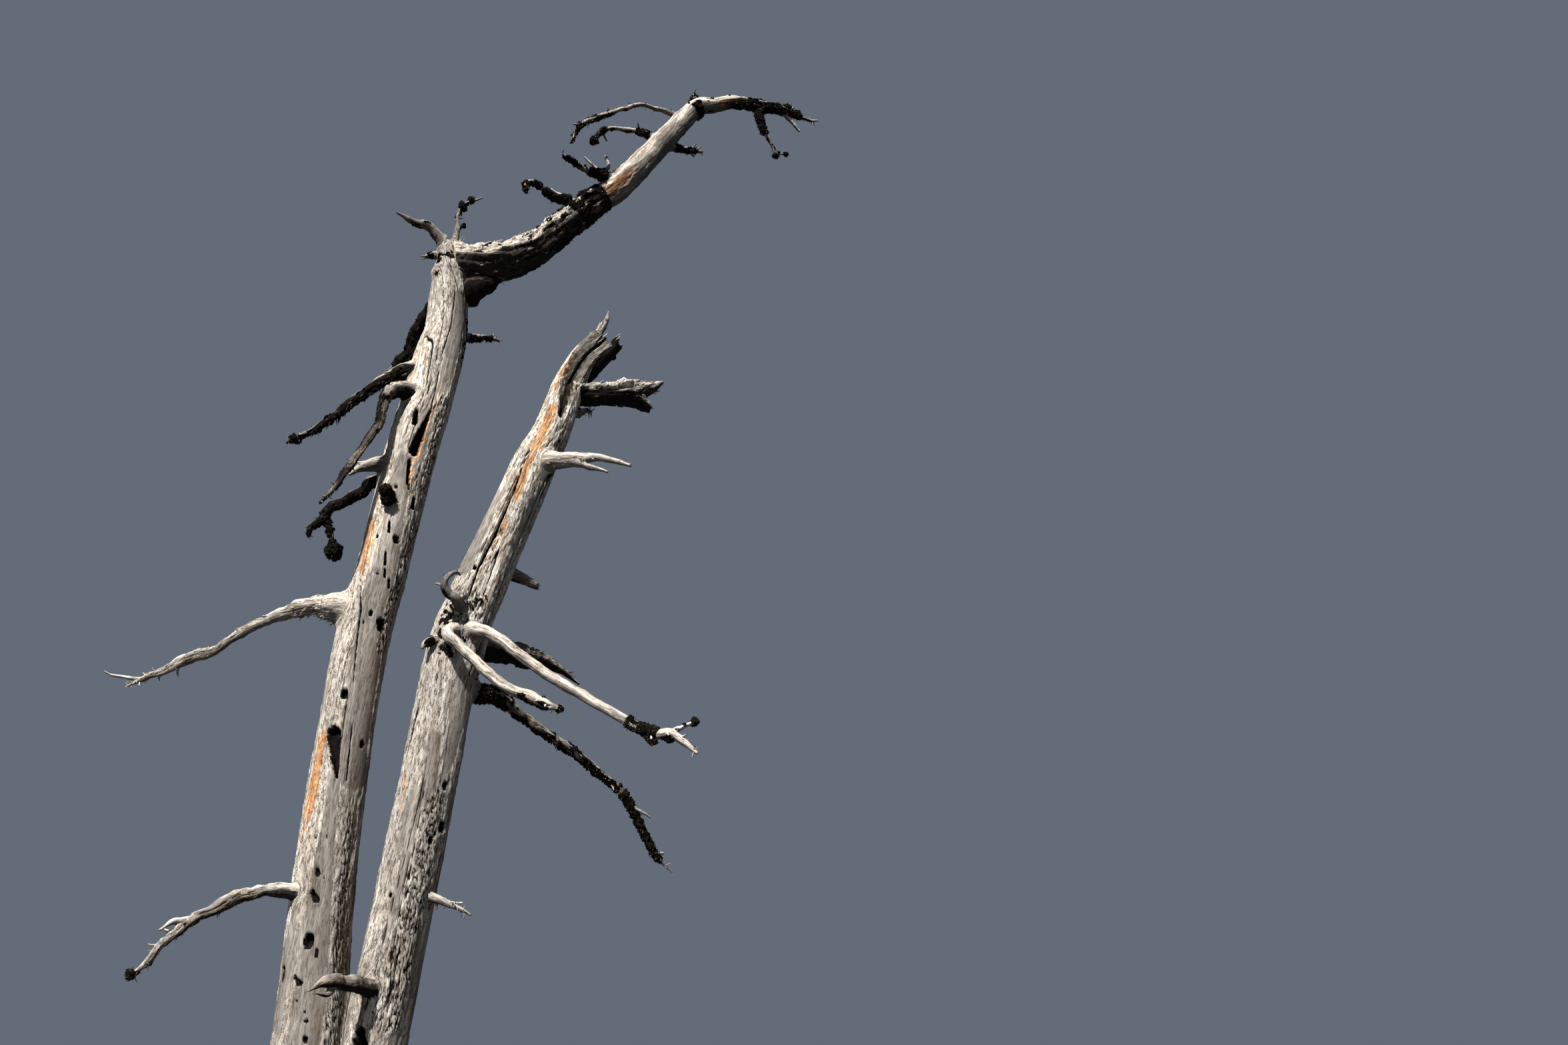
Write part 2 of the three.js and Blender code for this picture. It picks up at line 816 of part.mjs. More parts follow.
// Twigs go on where the bough ends, with forks, lichen tufts and broken spurs fused on.
function twigParts(limb, path) {
  const from = limb.twigsFrom;
  const seed = seedOf(limb.name);
  const jag = path.radii.at(-1) / 2;
  const options = { from, sides: TWIG_SIDES, jag, seed, startGap: from && JOIN_GAP };
  const forks = (limb.forks ?? []).map((fork) => branch(path, fork));
  const solid = (grow) =>
    fuse([
      tube(path, { ...options, grow }),
      ...forks.map((fork) => tube(fork, { sides: FORK_SIDES, grow })),
      ...(limb.clumps ?? []).map(({ leg, fork, size, lift = 0 }, i) => {
        const centre = fork === undefined ? pointAt(path, leg) : forks[fork].corners.at(-1).clone();
        centre.z += lift;
        return lump(centre, size, grow, seed + i);
      }),
      ...spurs(path, Math.max(from, 1), limb.legs.length, limb.spurs, grow, seed),
    ]);
  const name = limb.twigsName ?? limb.name.replace("_bough", "_twigs");
  return [{ name, kind: "twigs", solid }];
}

function limbParts(limb) {
  const parent = paths.get(limb.on);
  const start = pointAt(parent, limb.at ?? placeAtHeight(parent, limb.height));
  start.x += limb.aside ?? 0;
  const path = walk(start, limb.butt, limb.legs);
  paths.set(limb.name, path);
  const boughs = limb.twigsFrom === 0 ? [] : boughParts(limb, path);
  const twigs = limb.twigsFrom === undefined ? [] : twigParts(limb, path);
  return [...boughs, ...twigs];
}

const tree = new THREE.Group();

function addMesh(name, kind, solid) {
  const { vertProperties, triVerts } = solid.getMesh();
  const geometry = new THREE.BufferGeometry();
  geometry.setAttribute("position", new THREE.BufferAttribute(new Float32Array(vertProperties), 3));
  geometry.setIndex(new THREE.BufferAttribute(triVerts, 1));
  geometry.computeVertexNormals();
  const mesh = new THREE.Mesh(geometry, MATERIALS[kind]);
  mesh.name = name;
  tree.add(mesh);
}

// Both stems run down into one flared foot, cut flat at the ground.
const bothStems = fuse(STEMS.map((stem) => stemTube(stem, 0)));
addMesh("trunk_foot", "trunk", bothStems.intersect(between(0, FORK_HEIGHT)));
for (const stem of STEMS) {
  const above = stemTube(stem, 0).intersect(between(FORK_HEIGHT + JOIN_GAP, REACH));
  addMesh(stem.name, "trunk", clearOf(above));
  taken.push(stemTube(stem, JOIN_GAP));
}

for (const limb of LIMBS) {
  for (const { name, kind, solid } of limbParts(limb)) {
    addMesh(name, kind, clearOf(solid(0)));
    taken.push(solid(JOIN_GAP));
  }
}

export default tree;
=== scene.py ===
"""A dead mountain pine: bare grey wood, a bent leader, broken boughs, twigs and dark lichen."""
import json
import math

import bmesh
import bpy
import numpy as np
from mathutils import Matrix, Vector

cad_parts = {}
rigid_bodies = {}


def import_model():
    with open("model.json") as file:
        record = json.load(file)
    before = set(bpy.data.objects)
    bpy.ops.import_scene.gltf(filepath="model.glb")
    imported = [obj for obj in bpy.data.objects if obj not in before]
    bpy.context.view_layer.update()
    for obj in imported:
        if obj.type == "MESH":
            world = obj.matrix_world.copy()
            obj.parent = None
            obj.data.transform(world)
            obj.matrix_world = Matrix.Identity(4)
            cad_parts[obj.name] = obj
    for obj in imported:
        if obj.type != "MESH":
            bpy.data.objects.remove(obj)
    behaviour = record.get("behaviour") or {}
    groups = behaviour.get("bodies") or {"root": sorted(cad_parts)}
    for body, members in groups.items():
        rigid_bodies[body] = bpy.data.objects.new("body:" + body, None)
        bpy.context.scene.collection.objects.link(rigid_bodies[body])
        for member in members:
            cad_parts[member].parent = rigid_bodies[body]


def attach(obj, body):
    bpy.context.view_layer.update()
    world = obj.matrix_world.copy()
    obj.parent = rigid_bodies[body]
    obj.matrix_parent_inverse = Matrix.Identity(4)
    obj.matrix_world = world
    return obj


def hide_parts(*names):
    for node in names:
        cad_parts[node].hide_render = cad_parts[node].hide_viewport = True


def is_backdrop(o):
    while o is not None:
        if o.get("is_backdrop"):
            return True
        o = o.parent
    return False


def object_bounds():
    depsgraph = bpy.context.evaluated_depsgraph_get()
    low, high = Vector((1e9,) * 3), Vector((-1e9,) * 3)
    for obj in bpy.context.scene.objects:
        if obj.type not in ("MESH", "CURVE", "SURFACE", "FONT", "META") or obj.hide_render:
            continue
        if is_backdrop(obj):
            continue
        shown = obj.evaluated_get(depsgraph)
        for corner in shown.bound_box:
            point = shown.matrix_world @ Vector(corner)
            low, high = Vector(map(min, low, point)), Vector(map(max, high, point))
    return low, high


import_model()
size = {"cad": [list(corner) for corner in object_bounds()]}

# Sizes are in millimetres and angles in degrees, as in the part's source. Meshes are made in metres.
MM = 0.001
BOX = np.array(size["cad"]) / MM
SUN_FROM = (-0.58, -0.80, 0.98)  # the wood is painted paler on the side that faces this way too
FORK_HEIGHT = 1600  # where the fused foot parts into two stems
BURIED = 60  # how far the stems' stations run on below the ground
FLARE_SPREAD = 0.75  # extra girth of the root flare at the ground, as a share of the stem's radius
FLARE_HEIGHT = 300  # height in which the flare dies away to about a third
BUTTRESSES = 5  # lobes of the root flare round each stem
BUTTRESS_DEPTH = 0.38  # how far the flare draws in between the lobes
FLUTING = 0.025  # depth of the stems' shallow flutes, as a share of the radius
FLUTES = [(3, 700), (5, -430)]  # how many flutes, and the height in which they turn a radian
PARTED_HEIGHT = 2300  # up to here a stem shares its skin with the other one
STEMS_REACH = 60  # how softly the two stems run into each other
TUCKED = (0.4, 1.6)  # how far the rings of foot and stem that overlap are drawn in
FOLDS = dict(apart=4.4, reach=46, furthest=150, height=1.8)  # folds of wood round a bough's root
END_RINGS = (0.86, 0.62, 0.36, 0.12)  # the rings that close a broken end, as shares of its rim
END_SHADE = 0.45  # how dark a broken end is at least
STRIP_WIDTHS = (0.8, 1.0, 0.62)  # of a flake or a blade, at each row of its points
SPIRAL = math.radians(5) / 1000  # how far the grain turns round a limb in a millimetre
SPUR = dict(shortest=16, spread=34, lean=0.5, thickness=0.42, thinnest=4)

# A stem is given by stations from the ground up: (height, to the right, away from the viewer, radius).
# A mark on it runs from one (height, heading, width) to another, and goes in to a depth. A patch of painted
# shade has how dark it is painted instead. The top is broken: it has splinters, and flakes from so far below
# it.
STEMS = [
    dict(
        name="left_stem", flare_from=0.4, jag=12, sides=190, splinters=12, flakes=50, flaked=260,
        stations=[
            (-BURIED, -115, 0, 250), (700, -122, 10, 218), (1540, -135, 20, 198), (2360, -160, 50, 176),
            (3320, -141, 100, 163), (4020, -112, 130, 168), (4400, -60, 150, 160), (5200, 20, 190, 165),
            (5625, 85, 210, 171), (6070, 144, 230, 165), (6320, 176, 240, 145), (6640, 170, 250, 130),
            (6920, 160, 260, 106), (7060, 150, 262, 78),
        ],
        marks=[
            ("crack", (5880, 284, 9), (5575, 290, 15), 40),
            ("slot", (5575, 290, 18), (5255, 281, 84), 90),
            ("hole", (5550, 258, 24), (5450, 262, 40), 50),
            ("slot", (5150, 277, 30), (5000, 284, 20), 60),
            ("hole", (3275, 243, 104), (3010, 266, 20), 52),
            ("hole", (3530, 253, 44), (3515, 253, 44), 40),
            ("hole", (2090, 257, 62), (2060, 257, 62), 45),
            ("hole", (2340, 254, 34), (2300, 262, 44), 36),
            ("hole", (1885, 240, 26), (1855, 248, 40), 34),
            ("hole", (1935, 210, 46), (1880, 210, 40), 36),
            ("hole", (4600, 287, 44), (4578, 290, 44), 38),
            ("hole", (4900, 309, 30), (4860, 311, 38), 30),
            ("hole", (4700, 264, 16), (4625, 268, 18), 22),
            ("hole", (4490, 272, 12), (4405, 277, 18), 22),
            ("hole", (4372, 280, 16), (4318, 284, 18), 22),
            ("hole", (4315, 295, 16), (4265, 299, 20), 22),
            ("hole", (4336, 265, 22), (4330, 265, 22), 22),
            ("hole", (4961, 260, 20), (4957, 260, 20), 20),
            ("hole", (5000, 287, 22), (4965, 290, 14), 24),
            ("hole", (4590, 244, 14), (4586, 244, 14), 18),
            ("hole", (4070, 277, 20), (4052, 277, 20), 26),
            ("hole", (4018, 303, 62), (3975, 306, 52), 42),
            ("hole", (3998, 266, 11), (3993, 266, 11), 16),
            ("hole", (3232, 309, 34), (3226, 309, 34), 26),
            ("hole", (2470, 256, 22), (2440, 258, 34), 28),
            ("hole", (2030, 273, 14), (1995, 273, 18), 22),
            ("hole", (1765, 247, 18), (1759, 247, 18), 20),
            ("hole", (1660, 267, 26), (1650, 267, 26), 24),
            ("hole", (1708, 263, 11), (1704, 263, 11), 14),
            ("hole", (2650, 244, 11), (2646, 244, 11), 14),
            ("hole", (2656, 265, 11), (2650, 265, 11), 14),
            ("hole", (2422, 271, 10), (2418, 271, 10), 14),
            ("hole", (1570, 268, 24), (1556, 268, 30), 26),
            ("hole", (3650, 120, 60), (3560, 118, 46), 50),
            ("hole", (2500, 60, 50), (2450, 62, 50), 40),
            ("hole", (4900, 70, 40), (4800, 74, 30), 46),
            ("hole", (5800, 130, 40), (5760, 132, 40), 34),
            ("crack", (6620, 285, 9), (6020, 279, 11), 34),
            ("crack", (5360, 231, 9), (5040, 238, 11), 26),
            ("crack", (4270, 231, 10), (4085, 254, 16), 34),
            ("crack", (4085, 254, 16), (3590, 268, 12), 40),
            ("crack", (3500, 261, 8), (3270, 262, 9), 26),
            ("crack", (3330, 281, 9), (3000, 287, 14), 34),
            ("crack", (2900, 245, 12), (2560, 256, 15), 38),
            ("crack", (6500, 95, 9), (5700, 84, 13), 40),
            ("crack", (4400, 20, 12), (3100, 32, 15), 40),
            ("crack", (3000, 140, 10), (1900, 150, 13), 34),
            ("crack", (1500, 275, 10), (500, 262, 15), 34),
            ("smooth", (6560, 300, 90), (6080, 300, 120), 0),
            ("smooth", (5130, 262, 130), (4250, 280, 190), 0),
            ("smooth", (4250, 280, 190), (3020, 297, 170), 0),
            ("smooth", (3000, 262, 70), (2400, 270, 120), 0),
            ("smooth", (2400, 270, 120), (1500, 266, 190), 0),
            ("smooth", (5900, 40, 160), (4700, 60, 190), 0),
            ("smooth", (3900, 100, 180), (2700, 90, 160), 0),
            ("smooth", (2600, 170, 150), (1200, 165, 190), 0),
            ("pitted", (5700, 313, 60), (4950, 345, 110), 0),
            ("pitted", (4720, 330, 90), (3850, 322, 110), 0),
            ("pitted", (2800, 305, 60), (1900, 322, 110), 0),
            ("pitted", (1720, 318, 130), (1500, 308, 190), 0),
            ("rot", (5700, 293, 20), (5440, 299, 26), 0),
            ("rot", (5400, 297, 20), (5220, 288, 60), 0),
            ("rot", (5170, 281, 30), (5010, 291, 40), 0),
            ("rot", (4700, 222, 70), (4340, 229, 60), 0),
            ("rot", (3260, 214, 90), (2830, 214, 90), 0),
            ("rot", (2830, 212, 40), (2600, 209, 24), 0),
            ("rot", (6050, 212, 26), (5700, 214, 30), 0),
        ],
    ),
    dict(
        name="right_stem", flare_from=1.9, jag=45, sides=176, splinters=26, flakes=150, flaked=620,
        stations=[
            (-BURIED, 105, 0, 222), (700, 152, -8, 194), (1540, 226, -20, 176), (2520, 323, -70, 174),
            (3150, 387, -120, 166), (3820, 447, -160, 172), (4170, 528, -190, 162), (4920, 757, -250, 146),
            (5120, 822, -260, 140), (5320, 900, -280, 122), (5530, 962, -290, 114), (5730, 1010, -300, 100),
            (5950, 1105, -310, 96), (6100, 1225, -318, 102),
        ],
        marks=[
            ("trough", (5480, 285, 60), (5740, 272, 136), 36),
            ("trough", (5740, 272, 136), (6160, 262, 160), 74),
            ("painted_shade", (5600, 276, 110), (6140, 264, 290), 0.5),
            ("crack", (5160, 241, 16), (4870, 252, 24), 46),
            ("crack", (4870, 252, 24), (4560, 254, 40), 66),
            ("crack", (4560, 254, 40), (4310, 251, 22), 60),
            ("crack", (4310, 251, 22), (4150, 256, 18), 46),
            ("crack", (2990, 261, 9), (2600, 266, 11), 32),
            ("crack", (2600, 266, 11), (2340, 270, 9), 30),
            ("crack", (5500, 90, 11), (4500, 70, 15), 44),
            ("crack", (3500, 40, 12), (2100, 50, 13), 38),
            ("crack", (1500, 300, 9), (400, 290, 14), 34),
            ("hole", (2990, 303, 34), (2982, 303, 34), 28),
            ("hole", (2765, 316, 50), (2740, 317, 46), 34),
            ("hole", (2676, 295, 34), (2664, 295, 30), 28),
            ("hole", (2335, 239, 22), (2329, 239, 22), 22),
            ("hole", (4330, 242, 24), (4318, 242, 24), 24),
            ("hole", (1600, 238, 60), (1530, 242, 110), 70),
            ("hole", (3300, 110, 56), (3240, 112, 50), 44),
            ("hole", (4400, 120, 30), (4370, 120, 34), 30),
            ("smooth", (3260, 262, 80), (2880, 275, 80), 0),
            ("smooth", (4800, 205, 130), (4300, 215, 120), 0),
            ("smooth", (5600, 120, 110), (4300, 100, 150), 0),
            ("smooth", (3100, 130, 150), (1900, 120, 160), 0),
            ("pitted", (5400, 306, 40), (5230, 312, 56), 0),
            ("pitted", (4600, 262, 60), (4350, 262, 50), 0),
            ("pitted", (2900, 290, 120), (1700, 285, 200), 0),
            ("pitted", (4120, 262, 190), (3900, 265, 220), 0),
            ("rot", (5500, 244, 70), (5200, 252, 90), 0),
            ("rot", (5190, 254, 60), (4840, 264, 60), 0),
            ("rot", (4660, 266, 40), (4520, 262, 40), 0),
            ("rot", (5900, 215, 46), (5640, 225, 46), 0),
            ("rot", (2990, 215, 26), (2820, 218, 20), 0),
        ],
    ),
]

# A limb leaves its parent's axis at a height, or at a leg's end, and runs on in legs: (length, heading, rise,
# radius at the end). A heading is seen from above: 0 to the right, 90 away from the viewer, 180 to the left,
# 270 towards the viewer. Prongs, forks and clumps of lichen sit at a leg's end, counted from the first.
# The butt is the radius at the root. From the leg twigs_from on, a limb is twigs, with broken spurs.
LIMBS = [
    dict(
        name="leader", on="left_stem", height=6890, butt=150, twigs_from=10, spurs=3,
        twigs_name="leader_tip_twigs", slot="trunk", step=9,
        legs=[
            (300, 0, 15, 146), (280, 355, 28, 126), (350, 355, 47, 104), (360, 350, 48, 98),
            (280, 350, 45, 110), (550, 350, 55, 90), (410, 350, 55, 76), (180, 350, 25, 62),
            (200, 350, 15, 52), (370, 355, 0, 34), (150, 355, -15, 16), (150, 355, -15, 8),
        ],
        boughs=["leader_rise", "leader_arch"],
        prongs=[
            dict(leg=0, drop=320, butt=104, legs=[(190, 0, 40, 110), (170, 0, 35, 66), (105, 0, 40, 6)]),
            dict(leg=3.6, butt=70, legs=[(110, 330, -10, 50), (150, 355, 60, 8)]),
        ],
        forks=[
            dict(leg=10, butt=22, legs=[(240, 10, -40, 10)]),
            dict(leg=11.7, butt=10, legs=[(80, 350, 5, 6)]),
        ],
        clumps=[dict(leg=10.3, size=54, lift=26), dict(leg=11, size=42, lift=28)],
    ),
    dict(
        name="leader_hanging_twigs", on="leader", at=9.5, twigs_from=0, butt=34, spurs=3,
        legs=[(165, 0, -85, 26), (220, 0, -65, 12), (100, 0, -70, 8)],
        forks=[
            dict(leg=0, butt=16, legs=[(95, 345, -70, 10)]), dict(leg=2.9, butt=10, legs=[(100, 0, 5, 7)]),
        ],
        clumps=[
            dict(leg=0, size=52), dict(leg=1, size=34), dict(leg=3, size=38, lift=-18),
            dict(leg=3, fork=1, size=27),
        ],
    ),
    dict(
        name="leader_knot_tuft", on="leader", height=8590, twigs_from=0, butt=40, spurs=2,
        legs=[(120, 330, 80, 34), (60, 150, 85, 10)],
        clumps=[dict(leg=1, size=66, lift=-34)],
    ),
    dict(
        name="leader_long_twigs", on="leader", height=8500, twigs_from=0, butt=30, spurs=7,
        legs=[
            (90, 180, 25, 24), (260, 200, -10, 16), (150, 200, -30, 17), (370, 195, -40, 17),
            (190, 195, -45, 14), (220, 195, -70, 5),
        ],
        forks=[
            dict(leg=3.5, butt=14, legs=[(130, 165, -20, 11), (110, 190, -50, 5)]),
            dict(leg=5, butt=11, legs=[(90, 215, -30, 5)]),
        ],
        clumps=[dict(leg=4, size=34), dict(leg=5, size=38)],
    ),
    dict(
        name="leader_inner_twigs", on="leader", height=8260, twigs_from=0, butt=38, spurs=4,
        legs=[
            (110, 170, 30, 30), (105, 160, 25, 22), (220, 165, 5, 16), (85, 165, -20, 14),
            (115, 170, -60, 9),
        ],
        forks=[dict(leg=4, butt=12, legs=[(90, 25, -50, 6)])],
        clumps=[dict(leg=1, size=34), dict(leg=2, size=33), dict(leg=4, size=44), dict(leg=5, size=50)],
    ),
    dict(
        name="leader_under_twigs", on="leader", height=8220, twigs_from=0, butt=38, spurs=4,
        legs=[(250, 5, 10, 23), (135, 10, 10, 12)],
        forks=[dict(leg=1, butt=14, legs=[(80, 20, -30, 8)])],
        clumps=[dict(leg=0.5, size=37), dict(leg=1, size=34, lift=-18)],
    ),
    dict(
        name="leader_middle_twigs", on="leader", height=7800, twigs_from=0, butt=46, spurs=4,
        legs=[(160, 205, 10, 36), (105, 195, -10, 24), (190, 200, 10, 18), (60, 200, 10, 12)],
        forks=[
            dict(leg=1, butt=18, legs=[(245, 150, 50, 8)]),
            dict(leg=1, butt=18, legs=[(110, 20, 65, 16), (115, 135, 75, 12)]),
        ],
        clumps=[dict(leg=1, size=74), dict(leg=3, size=34)],
    ),
    dict(
        name="leader_lower_twigs", on="leader", height=7560, twigs_from=0, butt=44, spurs=4,
        legs=[
            (150, 190, 10, 32), (110, 195, -10, 24), (190, 195, 20, 20), (70, 190, -30, 18),
            (85, 300, -80, 12),
        ],
        forks=[dict(leg=1, butt=22, legs=[(180, 165, 35, 10)])],
        clumps=[dict(leg=1, size=48), dict(leg=2.5, size=30), dict(leg=4, size=44)],
    ),
    dict(
        name="top_horn", on="left_stem", height=6925, butt=88,
        legs=[
            (110, 180, 65, 62), (105, 195, 50, 44), (125, 195, 30, 33), (125, 195, 0, 22), (95, 195, 15, 8),
        ],
    ),
    dict(
        name="top_sprig", on="left_stem", height=7010, twigs_from=0, butt=30, spurs=3,
        legs=[(230, 60, 80, 20), (125, 120, 85, 15), (115, 20, 75, 14), (180, 10, 40, 6)],
        forks=[dict(leg=1, butt=10, legs=[(60, 350, 35, 8)])],
        clumps=[dict(leg=3, size=50, lift=-14), dict(leg=3.5, size=42), dict(leg=1, fork=0, size=27)],
    ),
    dict(
        name="top_side_stub", on="left_stem", height=6940, butt=40,
        legs=[(130, 180, 5, 30), (60, 180, -25, 16)],
    ),
    dict(
        name="upper_right_twigs", on="left_stem", height=6290, twigs_from=0, butt=46, spurs=3,
        legs=[(165, 15, 10, 33), (180, 15, 15, 16), (85, 15, 0, 6)],
        forks=[dict(leg=2, butt=9, legs=[(55, 40, 60, 6)])],
        clumps=[dict(leg=1, size=40), dict(leg=1.5, size=36)],
    ),
    dict(
        name="shaded_bough", on="left_stem", height=6620, butt=50,
        legs=[
            (100, 135, -15, 46), (145, 130, -35, 44), (255, 120, -55, 46), (135, 135, -55, 46),
            (220, 160, -40, 14),
        ],
    ),
    dict(
        name="upper_left_bough", on="left_stem", height=5950, butt=96, twigs_from=5, spurs=4,
        legs=[
            (170, 190, -5, 68), (120, 170, -25, 48), (240, 170, -40, 33), (250, 165, -45, 28),
            (110, 165, -45, 26), (100, 165, -40, 20), (90, 175, -30, 12), (70, 170, -35, 4),
        ],
        clumps=[dict(leg=7, size=52)],
    ),
    dict(
        name="hanging_bough", on="left_stem", height=5735, butt=84, twigs_from=5, spurs=4,
        legs=[
            (220, 220, -5, 60), (120, 210, -35, 46), (135, 230, -70, 36), (160, 250, -75, 30),
            (300, 215, -65, 24), (310, 215, -65, 17), (135, 195, -60, 10),
        ],
        forks=[dict(leg=5.5, butt=12, legs=[(90, 195, -60, 5)])],
    ),
    dict(
        name="hollow_stub", on="left_stem", height=5155, butt=84,
        legs=[(175, 205, 0, 60), (150, 200, -25, 28), (95, 195, -45, 8)],
        prongs=[dict(leg=1.6, butt=26, legs=[(76, 195, 5, 7)])],
    ),
    dict(
        name="crooked_bough", on="left_stem", height=5110, butt=48, twigs_from=3, spurs=4,
        legs=[
            (205, 175, -15, 41), (90, 140, -35, 36), (230, 155, -30, 34), (95, 150, -50, 28),
            (85, 160, -45, 20), (80, 155, -75, 7),
        ],
        forks=[dict(leg=4, butt=20, legs=[(80, 5, -50, 17), (180, 0, -75, 13)])],
        clumps=[dict(leg=4, fork=0, size=76, lift=10)],
    ),
    dict(
        name="long_left_bough", on="left_stem", height=4110, butt=132, twigs_from=6, spurs=7,
        legs=[
            (200, 185, 5, 98), (90, 165, 5, 74), (105, 165, -5, 56), (260, 160, -20, 34),
            (225, 160, -30, 28), (120, 160, -40, 26), (100, 170, -20, 34), (230, 170, -30, 21),
            (125, 175, -30, 16), (100, 175, -30, 6),
        ],
        prongs=[dict(leg=3, butt=30, legs=[(90, 170, -45, 12)])],
        forks=[
            dict(leg=7, butt=18, legs=[(110, 165, -10, 13), (110, 170, -40, 4)]),
            dict(leg=9, butt=14, legs=[(160, 175, 5, 9), (70, 180, 20, 4)]),
        ],
    ),
    dict(
        name="low_left_bough", on="left_stem", height=2355, butt=62, twigs_from=4, spurs=3,
        legs=[
            (190, 210, 0, 46), (150, 200, 0, 34), (150, 205, -20, 31), (275, 210, -30, 28),
            (110, 200, -40, 25), (95, 210, -50, 21), (115, 200, -55, 15), (80, 190, -45, 9),
        ],
        forks=[dict(leg=4, butt=20, legs=[(90, 205, -5, 17), (90, 205, -35, 6)])],
        clumps=[dict(leg=8, size=42, lift=12)],
    ),
    dict(
        name="knot_tuft", on="left_stem", height=4905, twigs_from=0, butt=44, spurs=0,
        legs=[(200, 250, -5, 38), (45, 250, -20, 16)],
        clumps=[dict(leg=1.4, size=62, lift=18), dict(leg=1.4, size=58, lift=-30)],
    ),
    dict(
        name="right_top_splinter", on="right_stem", height=6040, aside=-40, butt=56,
        legs=[(60, 350, 65, 40), (190, 350, 65, 15), (90, 340, 80, 3)],
    ),
    dict(
        name="broken_right_bough", on="right_stem", height=5690, butt=86,
        legs=[
            (140, 10, 5, 72), (130, 15, 15, 70), (160, 15, 20, 84), (110, 15, 20, 74), (130, 10, 30, 44),
            (120, 10, 35, 12),
        ],
        prongs=[
            dict(leg=2.4, butt=18, legs=[(120, 20, 40, 14), (60, 20, 50, 5)]),
            dict(leg=2.6, butt=52, legs=[(120, 15, 0, 60), (120, 15, -8, 50), (56, 10, -30, 26)]),
        ],
    ),
    dict(
        name="right_dead_twigs", on="right_stem", height=5510, twigs_from=0, butt=38, spurs=6,
        legs=[(140, 10, 15, 25), (80, 20, 40, 14), (50, 10, 0, 6)],
        clumps=[dict(leg=1, size=28)],
    ),
    dict(
        name="forked_right_bough", on="right_stem", height=5100, butt=84,
        legs=[(150, 315, 10, 66), (105, 335, 0, 56), (210, 340, 5, 27), (235, 340, -15, 12)],
        prongs=[dict(leg=2, butt=34, legs=[(120, 335, -20, 24), (180, 345, -15, 8)])],
    ),
    dict(
        name="right_stub", on="right_stem", height=4390, butt=66,
        legs=[(170, 15, -5, 46), (180, 15, -15, 26)],
    ),
    dict(
        name="curled_twigs", on="right_stem", height=4045, twigs_from=0, butt=44, spurs=4,
        legs=[
            (230, 250, 10, 36), (70, 210, 25, 29), (60, 210, 45, 24), (50, 315, 75, 17), (70, 10, 45, 12),
            (40, 30, -15, 6),
        ],
    ),
    dict(
        name="whorl_knob", on="right_stem", height=3890, butt=44,
        legs=[(180, 215, -10, 31), (65, 190, -30, 22), (35, 180, -60, 10)],
    ),
    dict(
        name="long_right_bough", on="right_stem", height=3950, butt=74, twigs_from=4, spurs=4,
        legs=[
            (235, 295, -10, 44), (140, 335, -25, 38), (410, 340, -35, 34), (580, 340, -30, 30),
            (155, 345, -25, 32), (100, 340, 0, 29), (95, 345, -30, 24), (110, 345, -40, 10),
        ],
        forks=[dict(leg=6, butt=20, legs=[(185, 15, 30, 10)])],
        clumps=[
            dict(leg=5, size=50, lift=12), dict(leg=5, size=52, lift=-30), dict(leg=6, size=44, lift=-26),
            dict(leg=6, fork=0, size=42),
        ],
    ),
    dict(
        name="short_right_bough", on="right_stem", height=3960, butt=66, twigs_from=4, spurs=3,
        legs=[
            (280, 250, -20, 40), (150, 325, -45, 35), (370, 330, -40, 32), (165, 335, -25, 36),
            (115, 335, -25, 31), (105, 345, -20, 14),
        ],
        forks=[dict(leg=5, butt=22, legs=[(66, 330, -35, 8)])],
        clumps=[dict(leg=5, size=34, lift=14), dict(leg=6, size=32)],
    ),
    dict(
        name="broad_shaded_bough", on="right_stem", height=3890, butt=104,
        legs=[
            (260, 30, 0, 82), (150, 25, 5, 76), (150, 25, -5, 70), (125, 20, -5, 46), (125, 15, -20, 22),
            (130, 15, -30, 6),
        ],
    ),
    dict(
        name="lichen_bough", on="right_stem", height=3655, butt=96, twigs_from=5, spurs=5,
        legs=[
            (190, 10, -20, 64), (140, 20, -5, 42), (340, 25, -25, 32), (370, 20, -25, 29),
            (180, 20, -30, 27), (155, 20, -30, 25), (140, 20, -45, 23), (365, 20, -55, 15),
            (190, 15, -40, 3),
        ],
        forks=[
            dict(leg=7, butt=16, legs=[(165, 350, -30, 7)]), dict(leg=8, butt=13, legs=[(66, 10, 0, 8)]),
        ],
        clumps=[
            dict(leg=6, size=42), dict(leg=7, size=44), dict(leg=7.4, size=44), dict(leg=7.8, size=40),
            dict(leg=8.2, size=38),
        ],
    ),
    dict(
        name="low_right_twigs", on="right_stem", height=2340, twigs_from=0, butt=46, spurs=4,
        legs=[(160, 325, 0, 32), (185, 335, -20, 14), (100, 340, -25, 6)],
        forks=[dict(leg=1.6, butt=12, legs=[(96, 350, 0, 5)])],
    ),
    dict(
        name="front_stub", on="right_stem", height=1820, butt=64,
        legs=[(225, 240, 5, 47), (245, 230, 5, 41), (90, 220, -8, 24), (105, 220, -26, 3)],
        prongs=[dict(leg=2.1, butt=28, legs=[(80, 226, -58, 17), (84, 220, 0, 3)])],
    ),
    dict(
        name="back_low_bough", on="left_stem", height=2980, butt=70,
        legs=[
            (200, 95, 0, 50), (150, 90, -10, 36), (170, 100, -25, 30), (140, 95, -35, 22),
            (110, 100, -40, 8),
        ],
    ),
    dict(
        name="back_middle_stub", on="left_stem", height=4560, butt=62,
        legs=[(190, 85, 5, 46), (120, 90, -10, 34), (110, 80, -15, 20)],
    ),
    dict(
        name="back_high_bough", on="left_stem", height=5470, butt=74,
        legs=[
            (210, 90, 0, 52), (140, 85, -20, 38), (170, 85, -40, 30), (150, 90, -50, 20), (120, 85, -60, 7),
        ],
    ),
    dict(
